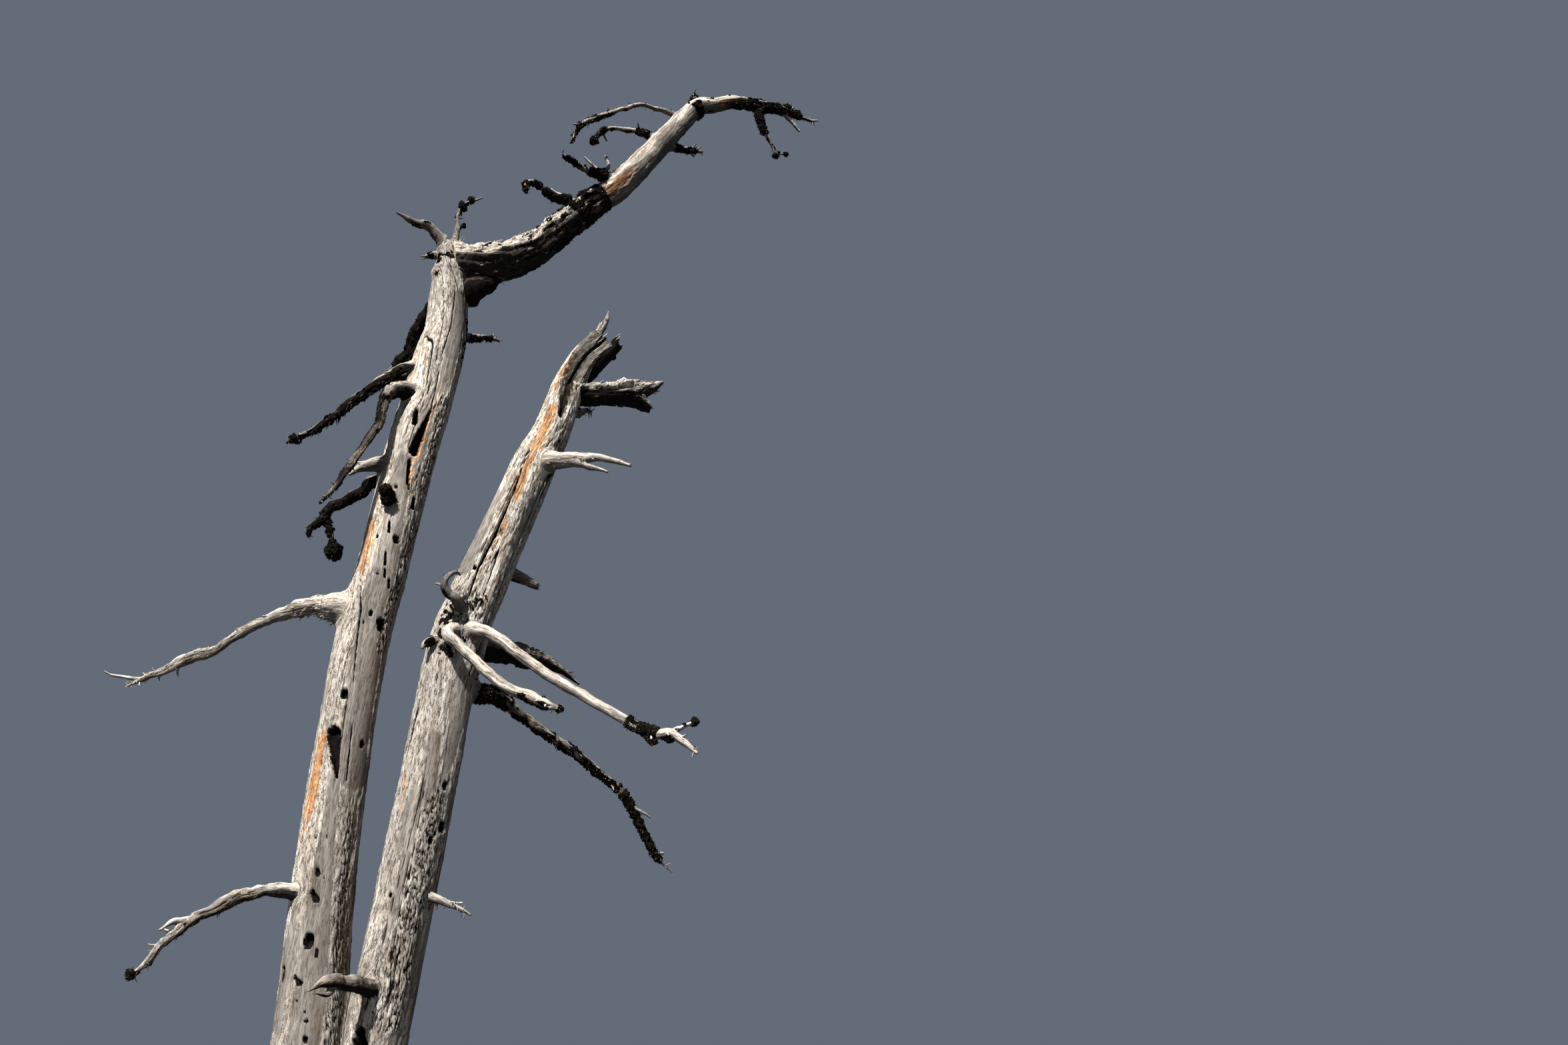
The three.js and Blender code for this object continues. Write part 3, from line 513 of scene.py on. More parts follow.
        name="back_whorl_bough", on="right_stem", height=3800, butt=78,
        legs=[
            (220, 90, 0, 54), (160, 85, -15, 40), (190, 85, -25, 32), (160, 80, -30, 22), (130, 85, -35, 8),
        ],
    ),
    dict(
        name="back_low_stub", on="right_stem", height=2860, butt=60,
        legs=[(200, 80, 5, 42), (130, 85, -10, 28), (90, 80, -20, 9)],
    ),
    dict(
        name="back_upper_stub", on="right_stem", height=5010, butt=60,
        legs=[(180, 75, 10, 44), (120, 80, 0, 32), (90, 75, -10, 20)],
    ),
]

# Hair lichen on a limb: (from leg, to leg, blades in 100 mm, length of a blade).
LICHEN = dict(
    leader=[
        (1.2, 2.6, 14, 22), (2.5, 3.4, 40, 26), (3.4, 4.4, 78, 30), (6.9, 7.4, 70, 36), (7.6, 9.2, 16, 24),
        (9.2, 11.4, 70, 32),
    ],
    leader_hanging_twigs=[(0.2, 1.6, 110, 34), (1.6, 3, 50, 24)],
    leader_knot_tuft=[(0.5, 2, 90, 26)],
    leader_long_twigs=[(2.2, 3.4, 20, 20), (3.4, 6, 70, 28)],
    leader_inner_twigs=[(0.5, 2.2, 95, 26), (2.2, 3.2, 20, 20), (3.2, 5, 90, 28)],
    leader_under_twigs=[(0.4, 1.7, 90, 26)],
    leader_middle_twigs=[(0.3, 2.2, 100, 30), (2.2, 4, 50, 26)],
    leader_lower_twigs=[(0.2, 2.6, 90, 30), (2.6, 5, 80, 28)],
    top_horn=[(0.5, 2.6, 34, 26), (2.6, 4, 14, 20)],
    top_sprig=[(1.6, 3.4, 60, 26)],
    top_side_stub=[(0.9, 2, 26, 16)],
    upper_right_twigs=[(0.6, 2.2, 80, 26)],
    shaded_bough=[(0.6, 4.4, 60, 28)],
    upper_left_bough=[(1.4, 5, 26, 26), (5, 8, 44, 24)],
    hanging_bough=[(1, 4, 18, 22), (4, 6.6, 22, 18)],
    crooked_bough=[(0.7, 3.2, 34, 22), (3.2, 6, 60, 26)],
    long_left_bough=[(5.6, 7.2, 12, 18)],
    low_left_bough=[(6.5, 8, 30, 22)],
    knot_tuft=[(0.5, 2, 150, 26)],
    broken_right_bough=[(1, 3.6, 6, 18)],
    right_dead_twigs=[(0.7, 2.6, 60, 18)],
    right_stub=[(0.9, 1.5, 14, 16)],
    curled_twigs=[(1.4, 3, 10, 16)],
    whorl_knob=[(0.9, 2.6, 60, 20)],
    long_right_bough=[(2.3, 2.6, 14, 18), (3.9, 5.3, 90, 32), (5.3, 6.3, 50, 24)],
    short_right_bough=[(3.6, 5.6, 44, 24)],
    broad_shaded_bough=[(1.2, 5, 14, 20)],
    lichen_bough=[(0.8, 2.4, 80, 34), (2.4, 3.4, 34, 26), (3.4, 6.2, 60, 28), (6.2, 8.4, 110, 32)],
    back_low_bough=[(1, 4, 20, 24)],
    back_high_bough=[(1, 4.5, 40, 26)],
    back_whorl_bough=[(1, 4.5, 50, 28)],
    back_upper_stub=[(1, 2.6, 22, 20)],
)

# Torn flakes of wood on a limb: (from leg, to leg, how many, how long, side). A side of 1 is on top and -1
# below.
FLAKES = dict(
    leader=[(0.2, 3.8, 190, 170, 1), (0.2, 3.8, 80, 80, -1), (3.6, 9, 70, 50, 0), (8.8, 11.5, 110, 60, -1)],
    top_horn=[(0.6, 3, 26, 30, -1)],
    top_side_stub=[(0.5, 2, 14, 26, 0)],
    shaded_bough=[(0.5, 4, 60, 40, 0)],
    upper_left_bough=[(0.8, 6, 150, 90, -1), (0.3, 2.4, 50, 110, 0)],
    hanging_bough=[(0.8, 6.4, 170, 64, 0)],
    hollow_stub=[(0.5, 2.6, 26, 40, 0)],
    crooked_bough=[(0.6, 5, 120, 56, -1)],
    long_left_bough=[(0.9, 3.2, 90, 90, -1), (3, 9, 150, 64, 0)],
    low_left_bough=[(1, 7, 90, 54, -1)],
    right_top_splinter=[(0.1, 2, 40, 50, 0)],
    broken_right_bough=[(0.6, 5.4, 170, 90, 0)],
    forked_right_bough=[(0.8, 3, 50, 50, -1)],
    right_stub=[(0.6, 1.6, 20, 26, 0)],
    whorl_knob=[(0.4, 2.6, 20, 24, 0)],
    long_right_bough=[(0.5, 4, 30, 24, 0), (4, 6, 26, 30, -1)],
    short_right_bough=[(0.5, 3, 24, 24, 0), (3, 5, 36, 34, 0)],
    broad_shaded_bough=[(0.8, 5.4, 120, 80, 1)],
    lichen_bough=[(0.8, 6, 90, 46, 0)],
    back_low_bough=[(0.8, 4, 40, 34, 0)],
    back_middle_stub=[(0.6, 2, 24, 34, 0)],
    back_high_bough=[(0.8, 4, 40, 34, 0)],
    back_whorl_bough=[(0.8, 4, 40, 34, 0)],
    back_low_stub=[(0.6, 2, 20, 30, 0)],
    back_upper_stub=[(0.6, 2.4, 30, 34, 0)],
)

# A broken prong of a stem: its corners, and its radius at each.
STUMPS = dict(
    right_stem=(
        [(1100, -270, 5760), (1180, -300, 5890), (1250, -325, 6000), (1328, -345, 6098)],
        [34, 46, 54, 42],
    ),
)

# Lichen on a stem: (height, heading), (height, heading), how wide, how many cushions, how large.
STEM_LICHEN = dict(
    left_stem=[
        ((6760, 238), (7020, 232), 150, 60, 34), ((6960, 265), (7040, 300), 90, 26, 30),
        ((6050, 345), (6420, 350), 60, 34, 20), ((5050, 350), (5500, 345), 40, 30, 13),
        ((4835, 256), (4860, 255), 60, 16, 40),
    ],
    right_stem=[
        ((3860, 236), (4060, 222), 90, 30, 30), ((3760, 250), (3900, 268), 110, 34, 24),
        ((3640, 330), (3860, 335), 60, 22, 22), ((4080, 262), (4180, 300), 60, 18, 20),
    ],
)

# Rot on a limb: a point in it, and how far the rot reaches from there.
ROTTEN = dict(
    leader=[
        ((1347, -10, 7760), 96), ((1283, 20, 7668), 84), ((930, 90, 7290), 50), ((620, 60, 7040), 60),
        ((2230, -60, 8690), 60), ((2400, -80, 8720), 56),
    ],
)

# How flaky a limb's wood is, how pale its tone is, and how much painted shade darkens its underside, from 0
# to 1. The tone is partly the wood's own and partly painted shade: boughs that lie in shade get darker tones.
# A limb that isn't in the table has the plain value. A row of pairs gives a leg and the value there.
PLAIN_FLAKY = 0.2
PLAIN_TONE_AND_LIGHT = 0.4
PLAIN_UNDER_SHADE = 0.3
FLAKY = dict(
    leader=((3.6, 0.8), (4.8, 0.06), (8.4, 0.06), (9.4, 0.5)), broken_right_bough=0.62, lichen_bough=0.5,
    long_left_bough=((3, 0.35), (6, 0.7)), low_left_bough=((1.4, 0.3), (2.4, 0.7)), right_top_splinter=0.8,
    front_stub=0.5, upper_left_bough=0.55, hanging_bough=0.5, crooked_bough=0.4, shaded_bough=0.5,
    broad_shaded_bough=0.6,
)
TONE_AND_LIGHT = dict(
    long_right_bough=0.66, short_right_bough=0.66, long_left_bough=((3, 0.75), (6, 0.35)),
    low_left_bough=((1.4, 0.6), (2.4, 0.25)), leader=((4, 0.7), (5, 1), (9, 0.8)),
    forked_right_bough=0.8, broken_right_bough=0.7, front_stub=0.2, lichen_bough=0.3, shaded_bough=0.1,
    hanging_bough=((1.4, 0.4), (2.4, 0)), crooked_bough=0, broad_shaded_bough=0.15, top_horn=0.3,
    upper_left_bough=((2, 0.6), (3.4, 0.1)),
)
UNDER_SHADE = dict(
    leader=((3.2, 0.62), (4.4, 0.42), (8.4, 0.45), (9.2, 0.9)), broken_right_bough=((2.4, 1), (3.6, 0.6)),
    long_right_bough=0.12, short_right_bough=0.12, shaded_bough=0.8, hanging_bough=0.95,
    broad_shaded_bough=0.8, upper_left_bough=0.9, crooked_bough=0.95, front_stub=0.7, low_left_bough=0.6,
)
HEAVY_PRONG = dict(thicker_than=60, tone_and_light=-0.2, under_shade=1.2)  # a thick prong has a darker tone than its limb and more painted shade on its underside
SIDE_TUBE_FLAKY = 0.35  # how flaky prongs, forks and spurs are
SPLINTERED_TIP = 14  # a thicker broken end than this has splinters

# How much a limb wanders and swells, where it isn't 1.
WANDER = dict(
    leader=0.3, broken_right_bough=0.2, forked_right_bough=0.6, long_right_bough=0.35, short_right_bough=0.5,
    lichen_bough=0.6,
)

# Blades of lichen are dealt out to these tints in shares. Some limbs, and the stems' patches, have darker
# lichen than
# the others: partly a darker lichen, partly painted shade on lichen that lies in shade.
LICHEN_TINTS = ("black", "dark", "brown", "grey")
DARK_AND_SHADED_SHARES = (0.56, 0.26, 0.14, 0.04)
MIXED_SHARES = (0.3, 0.24, 0.26, 0.2)
DARK_AND_SHADED_LICHEN = (
    "leader", "leader_hanging_twigs", "leader_knot_tuft", "leader_under_twigs", "leader_middle_twigs",
    "leader_lower_twigs", "top_sprig", "upper_right_twigs", "shaded_bough", "crooked_bough", "knot_tuft",
)
LICHEN_COLOURS = dict(
    core=((0.005, 0.004, 0.0035), (0.02, 0.016, 0.012)),
    black=((0.014, 0.011, 0.009), (0.05, 0.041, 0.032)),
    dark=((0.04, 0.033, 0.026), (0.105, 0.087, 0.067)),
    brown=((0.08, 0.066, 0.05), (0.19, 0.157, 0.122)),
    grey=((0.15, 0.129, 0.103), (0.36, 0.316, 0.26)),
)
LEVEL_HEIGHT = 6600  # lichen above it and lichen below it are pieces of their own
BLADES = 1.2  # how many blades stand on a limb for each one that the table gives
FORKED_BLADES = 0.4
ROUNDER_FROM = (15, 52)  # a larger ball of lichen has more faces
SLEEVE_RINGS = 5  # a stretch of fewer rings has no sleeve of lichen
COARSE_SIDES = 24  # a limb of fewer sides has a sleeve of twice as many
BARE_GAPS = ((0, 20, 50, 90, 150), (0.9, 0.5, 0.1, -0.4, -1.2))  # blades in 100 mm, and how bare that is

# The view: from standing height, looking up, with a moderately wide lens.
CAMERA_PLACE = (0, -8.1, 1.6)
CAMERA_HEADING = 18.3  # to the right of straight ahead
CAMERA_RISE = 22
LENS = 29
SENSOR = 36
VIEW_END = 200

# A lamp: its name, where its light comes from, how strong and how wide it is, and its colour.
LAMPS = [
    ("key", SUN_FROM, 6.0, 3, (1.0, 0.98, 0.95)),
    ("back_light", (0.05, 1.0, 0.5), 2.2, 30, (0.93, 0.96, 1.0)),
]
AIR_COLOUR = (0.62, 0.71, 0.84, 1)
AIR_STRENGTH = 0.22
FLOOR_SIDE = 16
FLOOR_COLOUR = (0.24, 0.24, 0.237, 1)


def unit(vectors):
    return vectors / np.maximum(np.linalg.norm(vectors, axis=-1, keepdims=True), 1e-9)


def smooth(low, high, value):
    """0 at low, 1 at high, and a soft rise between them. Low may be the larger of the two."""
    share = np.clip((value - low) / (high - low), 0, 1)
    return share * share * (3 - 2 * share)


WORD = 0xFFFFFFFF


def seeded(seed):
    """The same row of random numbers, from 0 to 1, each time."""
    state = seed & WORD
    while True:
        state = (state * 1664525 + 1013904223) & WORD
        yield state / (WORD + 1)


def seed_of(name):
    total = 7
    for letter in name:
        total = (total * 31 + ord(letter)) & WORD
    return total


def lattice(cell, seed):
    """A repeatable whole number for each cell of space."""
    mixed = cell[:, 0] * 73856093 ^ cell[:, 1] * 19349663 ^ cell[:, 2] * 83492791 ^ (seed * 40503 + 977)
    mixed = (mixed ^ (mixed >> 15)) * 2246822519 & WORD
    mixed = (mixed ^ (mixed >> 13)) * 3266489917 & WORD
    return mixed ^ (mixed >> 16)


CORNERS = np.array([(x, y, z) for x in (0, 1) for y in (0, 1) for z in (0, 1)])
WAYS = (-1, 0, 1)
SLOPES = unit(np.array([(x, y, z) for x in WAYS for y in WAYS for z in WAYS if x or y or z], float))


def noise(points, seed=0):
    """Soft noise from about -1 to 1, at points in its own cells of size 1."""
    cell = np.floor(points).astype(np.int64)
    inside = points - cell
    fade = inside**3 * (inside * (inside * 6 - 15) + 10)
    total = np.zeros(len(points))
    for corner in CORNERS:
        slope = SLOPES[lattice(cell + corner, seed) % len(SLOPES)]
        weight = np.prod(np.where(corner, fade, 1 - fade), axis=1)
        total += weight * np.einsum("ij,ij->i", slope, inside - corner)
    return total * 1.6


def cloud(points, seed=0, layers=3):
    """Noise with finer noise on it, each layer half as strong as the one before."""
    return sum(noise(points * 2**layer, seed + 31 * layer) / 2**layer for layer in range(layers))


def stepped(value, rise):
    """Whole steps, with a short rise from each to the next."""
    return np.floor(value) + smooth(0, rise, value % 1)


def stretch(grain, across, along):
    """Points of the grain in cells that are drawn out along it."""
    return grain / np.array((across, across, along), float)


class Path:
    """A smooth line through corners, with a radius at each. A place counts corners from 0."""

    def __init__(self, corners, radii):
        self.corners = np.array(corners, float)
        self.radii = np.array(radii, float)
        self.end = len(self.corners) - 1
        before = 2 * self.corners[0] - self.corners[1]
        after = 2 * self.corners[-1] - self.corners[-2]
        self.spaced = np.vstack([before, self.corners, after])

    def terms(self, places):
        places = np.atleast_1d(np.asarray(places, float))
        i = np.clip(places.astype(int), 0, self.end - 1)
        p0, p1, p2, p3 = (self.spaced[i + k] for k in range(4))
        leaving, arriving = (p2 - p0) / 2, (p3 - p1) / 2
        square = 3 * (p2 - p1) - 2 * leaving - arriving
        cube = 2 * (p1 - p2) + leaving + arriving
        return (places - i)[:, None], p1, leaving, square, cube

    def point(self, places):
        t, start, leaving, square, cube = self.terms(places)
        return start + t * (leaving + t * (square + t * cube))

    def slope(self, places):
        t, _, leaving, square, cube = self.terms(places)
        return unit(leaving + t * (2 * square + t * 3 * cube))

    def radius(self, places):
        return np.interp(places, range(len(self.radii)), self.radii)

    def girth(self, places, angle, height):
        return self.radius(places) + 0 * angle


class StemPath(Path):
    """A stem, with shallow flutes that turn slowly round it and a root flare near the ground."""

    def __init__(self, stem):
        self.flare_from = stem["flare_from"]
        corners = [(x, y, z) for z, x, y, _ in stem["stations"]]
        super().__init__(corners, [station[3] for station in stem["stations"]])

    def girth(self, places, angle, height):
        flutes = sum(np.sin(count * angle + height / turn) for count, turn in FLUTES)
        lobes = 1 - BUTTRESS_DEPTH + BUTTRESS_DEPTH * np.cos(BUTTRESSES * angle + self.flare_from)
        flare = FLARE_SPREAD * lobes * np.exp(-np.maximum(height, 0) / FLARE_HEIGHT)
        return self.radius(places) * (1 + FLUTING * flutes) * (1 + flare)


def direction(heading, rise):
    h, r = math.radians(heading), math.radians(rise)
    return np.array((math.cos(h) * math.cos(r), math.sin(h) * math.cos(r), math.sin(r)))


def walk(start, butt, legs):
    corners, radii = [np.array(start, float)], [butt]
    for length, heading, rise, radius in legs:
        corners.append(corners[-1] + direction(heading, rise) * length)
        radii.append(radius)
    return Path(corners, radii)


def branch(path, fork):
    start = path.point(fork["leg"])[0] - (0, 0, fork.get("drop", 0))
    return walk(start, fork["butt"], fork["legs"])


HALVINGS = 40


def place_at_height(path, height):
    low, high = 0.0, float(path.end)
    for _ in range(HALVINGS):
        middle = (low + high) / 2
        if path.point(middle)[0][2] < height:
            low = middle
        else:
            high = middle
    return low


def even_places(path, start, end, step):
    """Places an even step apart, and how far each is along the path."""
    fine = np.linspace(start, end, 60 * math.ceil(end - start) + 1)
    run = np.concatenate([[0], np.cumsum(np.linalg.norm(np.diff(path.point(fine), axis=0), axis=1))])
    even = np.linspace(0, run[-1], max(3, round(run[-1] / step) + 1))
    return np.interp(even, run, fine), even


def frames_along(path, places):
    """Centre, direction and two cross directions at each place, carried along so that nothing twists."""
    centre, along = path.point(places), path.slope(places)
    across = np.empty_like(along)
    side = np.array((1.0, 0, 0)) if abs(along[0][2]) > 0.8 else np.array((0, 0, 1.0))
    for i, forward in enumerate(along):
        side = unit(side - forward * (side @ forward))
        across[i] = side
    return centre, along, across, np.cross(across, along)


class Field:
    """The space round part of a path: how far a point is from its skin, and which way is out."""

    STEP = 14
    AT_ONCE = 8192

    def __init__(self, path, start, end):
        self.path = path
        self.places, self.run = even_places(path, start, end, self.STEP)
        self.centre, self.along, self.across, self.beside = frames_along(path, self.places)
        self.rate = np.gradient(self.places, self.run)

    def nearest(self, points):
        found = np.empty(len(points), int)
        squares = (self.centre**2).sum(1)
        for i in range(0, len(points), self.AT_ONCE):
            some = slice(i, i + self.AT_ONCE)
            found[some] = np.argmin(squares - 2 * points[some] @ self.centre.T, axis=1)
        return found

    def measure(self, points):
        i = self.nearest(points)
        offset = points - self.centre[i]
        past = np.einsum("ij,ij->i", offset, self.along[i])
        lowest = np.where(i == 0, 0, -2 * self.STEP)
        highest = np.where(i == len(self.run) - 1, 0, 2 * self.STEP)
        past = np.clip(past, lowest, highest)
        radial = offset - past[:, None] * self.along[i]
        angle = np.arctan2(
            np.einsum("ij,ij->i", radial, self.beside[i]), np.einsum("ij,ij->i", radial, self.across[i])
        )
        height = points[:, 2]
        radius = self.path.girth(self.places[i] + past * self.rate[i], angle, height)
        far = np.linalg.norm(radial, axis=1)
        return far - radius, radial / np.maximum(far, 1e-6)[:, None], angle, self.run[i] + past


def settle(points, own, others):
    """Moves points onto the smooth skin that limbs share where they meet. Each other limb has its reach."""
    near = np.zeros(len(points), bool)
    keep = np.ones(len(points))
    closest = np.full(len(points), 1e6)
    for field, reach in others:
        apart = field.measure(points)[0]
        near |= apart < reach
        keep *= smooth(-0.7 * reach, -0.05 * reach, apart)
        closest = np.minimum(closest, apart)
    moved = points[near].copy()
    for _ in range(3):
        distance, out, _, _ = own.measure(moved)
        for field, reach in others:
            other, other_out, _, _ = field.measure(moved)
            share = np.clip(0.5 + 0.5 * (other - distance) / reach, 0, 1)
            distance = share * distance + (1 - share) * other - reach * share * (1 - share)
            out = share[:, None] * out + (1 - share)[:, None] * other_out
        moved -= out * (distance / np.maximum((out**2).sum(1), 0.1))[:, None]
    step = moved - points[near]
    longest = max((reach for _, reach in others), default=0)
    step *= np.minimum(1, longest / np.maximum(np.linalg.norm(step, axis=1), 1e-6))[:, None]
    points[near] += step * keep[near][:, None]
    return closest


class Skin:
    """A tube of points round a path: its rings run along the path and its sides round it."""

    def __init__(self, path, start, end, sides, step):
        self.path, self.sides = path, sides
        self.places, self.run = even_places(path, start, end, step)
        self.centre, self.along, self.across, self.beside = frames_along(path, self.places)
        self.angle = np.arange(sides) * 2 * np.pi / sides
        angle = self.angle[None, :, None]
        self.out = self.across[:, None] * np.cos(angle) + self.beside[:, None] * np.sin(angle)
        radius = path.girth(self.places[:, None], self.angle[None, :], self.centre[:, 2][:, None])
        self.points = self.centre[:, None] + self.out * radius[..., None]
        self.plain = path.radius(self.places)[:, None] + 0 * self.angle
        self.knots = []
        self.wear = np.zeros((len(self.run), sides, 4))

    def normals(self):
        forward = np.gradient(self.points, axis=0)
        round_it = np.roll(self.points, -1, 1) - np.roll(self.points, 1, 1)
        return unit(np.cross(forward, round_it))

    def settle(self, own, others):
        flat = self.points.reshape(-1, 3)
        closest = settle(flat, own, others)
        self.points = flat.reshape(self.points.shape)
        return closest.reshape(self.plain.shape)

    def gnarl(self, free, seed):
        """Lets a limb wander and swell a little, as far as it is free to."""
        radius = self.path.radius(self.places)
        beat = 74 + 1.3 * radius.mean()
        line = np.stack([self.run / beat, 0 * self.run, 0 * self.run], axis=1)
        sideways = self.across * noise(line, seed)[:, None] + self.beside * noise(line, seed + 1)[:, None]
        swell = 0.2 * noise(line * 1.3, seed + 2) + 0.13 * noise(line * 3.4, seed + 3)
        moved = (0.42 * radius * free)[:, None] * sideways
        self.points += (self.points - self.centre[:, None]) * (swell * free)[:, None, None] + moved[:, None]
        self.centre = self.centre + moved

    def facing(self, towards):
        """How far each point looks towards a direction, from -1 to 1."""
        return self.normals() @ unit(np.array(towards, float))

    def grain(self):
        """Where each point lies in the wood, drawn straight, with the fibres running round the knots."""
        angle = self.angle[None, :] + self.run[:, None] * SPIRAL
        for run, knot_angle, radius in self.knots:
            side = wrapped(self.angle[None, :] - knot_angle) * self.plain
            apart = np.maximum(side**2 + (self.run[:, None] - run) ** 2, radius**2)
            angle = angle - side * radius**2 / apart / self.plain
        run = self.run[:, None] + 0 * angle
        return np.stack([self.plain * np.cos(angle), self.plain * np.sin(angle), run], axis=-1)

    def texture(self, seed):
        """Noise drawn out along the grain: field(cell across it, cell along it, number of the noise)."""
        grain = self.grain().reshape(-1, 3)

        def field(across, along, layer, layers=1):
            return cloud(stretch(grain, across, along), seed + layer, layers).reshape(self.plain.shape)

        return field

    def strip(self, first, last):
        """How far each point lies outside a strip, which is below 0 inside it, and how wide the strip is."""
        ends = []
        for height, heading, width in (first, last):
            ring = int(np.argmin(np.abs(self.centre[:, 2] - height)))
            towards = direction(heading, 0)
            angle = math.atan2(towards @ self.beside[ring], towards @ self.across[ring])
            ends.append((self.run[ring], angle, width))
        (run1, angle1, width1), (run2, angle2, width2) = ends
        span = run2 - run1 if abs(run2 - run1) > 1 else 1.0
        share = np.clip((self.run - run1) / span, 0, 1)[:, None]
        line = angle1 + wrapped(angle2 - angle1) * share
        side = wrapped(self.angle[None, :] - line) * self.plain
        past = np.maximum(np.maximum(min(run1, run2) - self.run, self.run - max(run1, run2)), 0)[:, None]
        width = width1 + (width2 - width1) * share
        return np.hypot(side, past) - width / 2, width


def wrapped(angle):
    """An angle brought between minus half a turn and half a turn."""
    return (angle + np.pi) % (2 * np.pi) - np.pi


def carve_marks(skin, marks, ragged):
    """How deep the marks carve each point of a stem, and how rotten, dark, pitted and worn they make it."""
    # Each kind of mark fades out over its own width, and its edge is as ragged as the wood round it.
    shape = skin.plain.shape
    carved, rot, hollow_and_shade, pitted, worn = (np.zeros(shape) for _ in range(5))
    for kind, first, last, depth in marks:
        outside, width = skin.strip(first, last)
        if kind == "smooth":
            worn = np.maximum(worn, 1 - smooth(-12, 8, outside + 9 * ragged))
        elif kind == "pitted":
            pitted = np.maximum(pitted, 1 - smooth(-24, 30, outside + 24 * ragged))
        elif kind == "rot":
            rot = np.maximum(rot, 1 - smooth(-16, 12, outside + 30 * ragged))
        elif kind == "trough":
            share = np.clip(-outside / (width / 2), 0, 1)
            carved = np.maximum(carved, depth * np.sqrt(1 - (1 - share) ** 2))
            # Painted shade: the trough is painted dark inside.
            hollow_and_shade = np.maximum(hollow_and_shade, 0.72 * smooth(0.05, 0.5, share + 0.3 * ragged))
            rot = np.maximum(rot, 0.45 * smooth(0.1, 0.5, share))
        # A patch of painted shade: it darkens the wood without carving it.
        elif kind == "painted_shade":
            hollow_and_shade = np.maximum(hollow_and_shade, depth * (1 - smooth(-20, 12, outside + 26 * ragged)))
        elif kind == "crack":
            inside = 1 - smooth(-5, 2, outside + 0.22 * width + 1.5 * ragged)
            carved = np.maximum(carved, depth * inside)
            # Painted shade: a crack is painted dark inside.
            hollow_and_shade = np.maximum(hollow_and_shade, smooth(0.2, 0.7, inside))
        else:
            edge = 5 + 0.08 * width
            inside = 1 - smooth(-edge, 1, outside + (1.5 + 0.04 * width) * ragged)
            carved = np.maximum(carved, depth * inside)
            # Holes are painted near-black inside: partly dark rot, partly painted shade.
            hollow_and_shade = np.maximum(hollow_and_shade, smooth(0.0, 0.16, inside))
            carved -= 8 * (width > 54) * np.exp(-(((outside - 9) / 10) ** 2))
            if kind == "slot":
                rim = 1 - smooth(0, 18, outside + 10 * ragged)
                rot = np.maximum(rot, 0.9 * rim * smooth(-0.3, 0.2, ragged))
    return carved, rot, hollow_and_shade, pitted, worn


def stem_relief(skin, marks, calm, seed):
    """Carves a stem: flaky crust beside smooth worn wood, drying cracks, and its marks."""
    # Heights are in millimetres. Crust, chips, cracks and the rest are shares from 0 to 1.
    field = skin.texture(seed)
    ragged = field(11, 34, 5, 2)
    carved, rot, hollow_and_shade, pitted, worn = carve_marks(skin, marks, ragged)
    patch = 1.4 * field(120, 800, 0, 2) + 0.42 + 0.22 * field(20, 60, 12) - 1.7 * worn + 1.2 * pitted
    crust = smooth(-0.05, 0.07, patch)
    chips = smooth(0.12, 0.4, field(9, 38, 1))
    steps = stepped(field(32, 110, 2) * 2.6, 0.16)
    crackle = 1 - smooth(0.03, 0.14, np.abs(field(23, 120, 13)))
    check = (1 - smooth(0.01, 0.042, np.abs(field(90, 2200, 3)))) * smooth(-0.1, 0.15, field(170, 1300, 4))
    check *= 1 - 0.85 * worn
    hair = (1 - smooth(0.02, 0.08, np.abs(field(34, 700, 6)))) * (0.4 + 0.6 * crust)
    height = 5 * field(170, 420, 7) + (0.7 + 1.6 * crust) * field(40, 650, 8, 2)
    height += crust * (4 + 2 * field(15, 95, 9, 3) + 1.5 * steps - 3.4 * crackle)
    height += (1 - crust) * 0.35 * field(9, 300, 10, 2)
    pits_and_shade = pitted * smooth(0.26, 0.42, field(11, 26, 14, 2))
    height -= chips * crust * (3.2 + 3 * pitted) + 4.5 * pits_and_shade
    height -= 11 * check + 2 * hair + 4 * rot * (1 + ragged)

    # Painted light: the wood is palest on the side that faces the key lamp and high up, apart from the top,
    # and painted darker on the far side. Its noise and the worn strips give it its own tone.
    lit = skin.facing((SUN_FROM[0], SUN_FROM[1], 0.4))
    skin.points += skin.normals() * (height * calm - carved)[..., None]
    dark = np.maximum(0.85 * check, chips * crust * (0.26 + 0.26 * pitted))
    # Black pits: real pits that are also painted shade, since the pitted marks lie on the side away from the
    # key lamp.
    dark = np.maximum(dark, 0.75 * pits_and_shade)
    high = smooth(2400, 5800, skin.points[..., 2]) - 0.6 * smooth(5950, 6500, skin.points[..., 2])
    tone_and_light = 0.34 + 0.36 * high + 0.36 * lit + 0.34 * field(90, 500, 11, 2)
    tone_and_light -= 0.22 * worn
    skin.wear = np.stack([crust, rot, np.maximum(hollow_and_shade, dark), np.clip(tone_and_light, 0, 1)], axis=-1)


def along_legs(skin, value):
    """A value for each ring, from one number or from a row of pairs."""
    legs, values = zip(*value) if isinstance(value, tuple) else ((0,), (value,))
    return np.interp(skin.places, legs, values)[:, None]


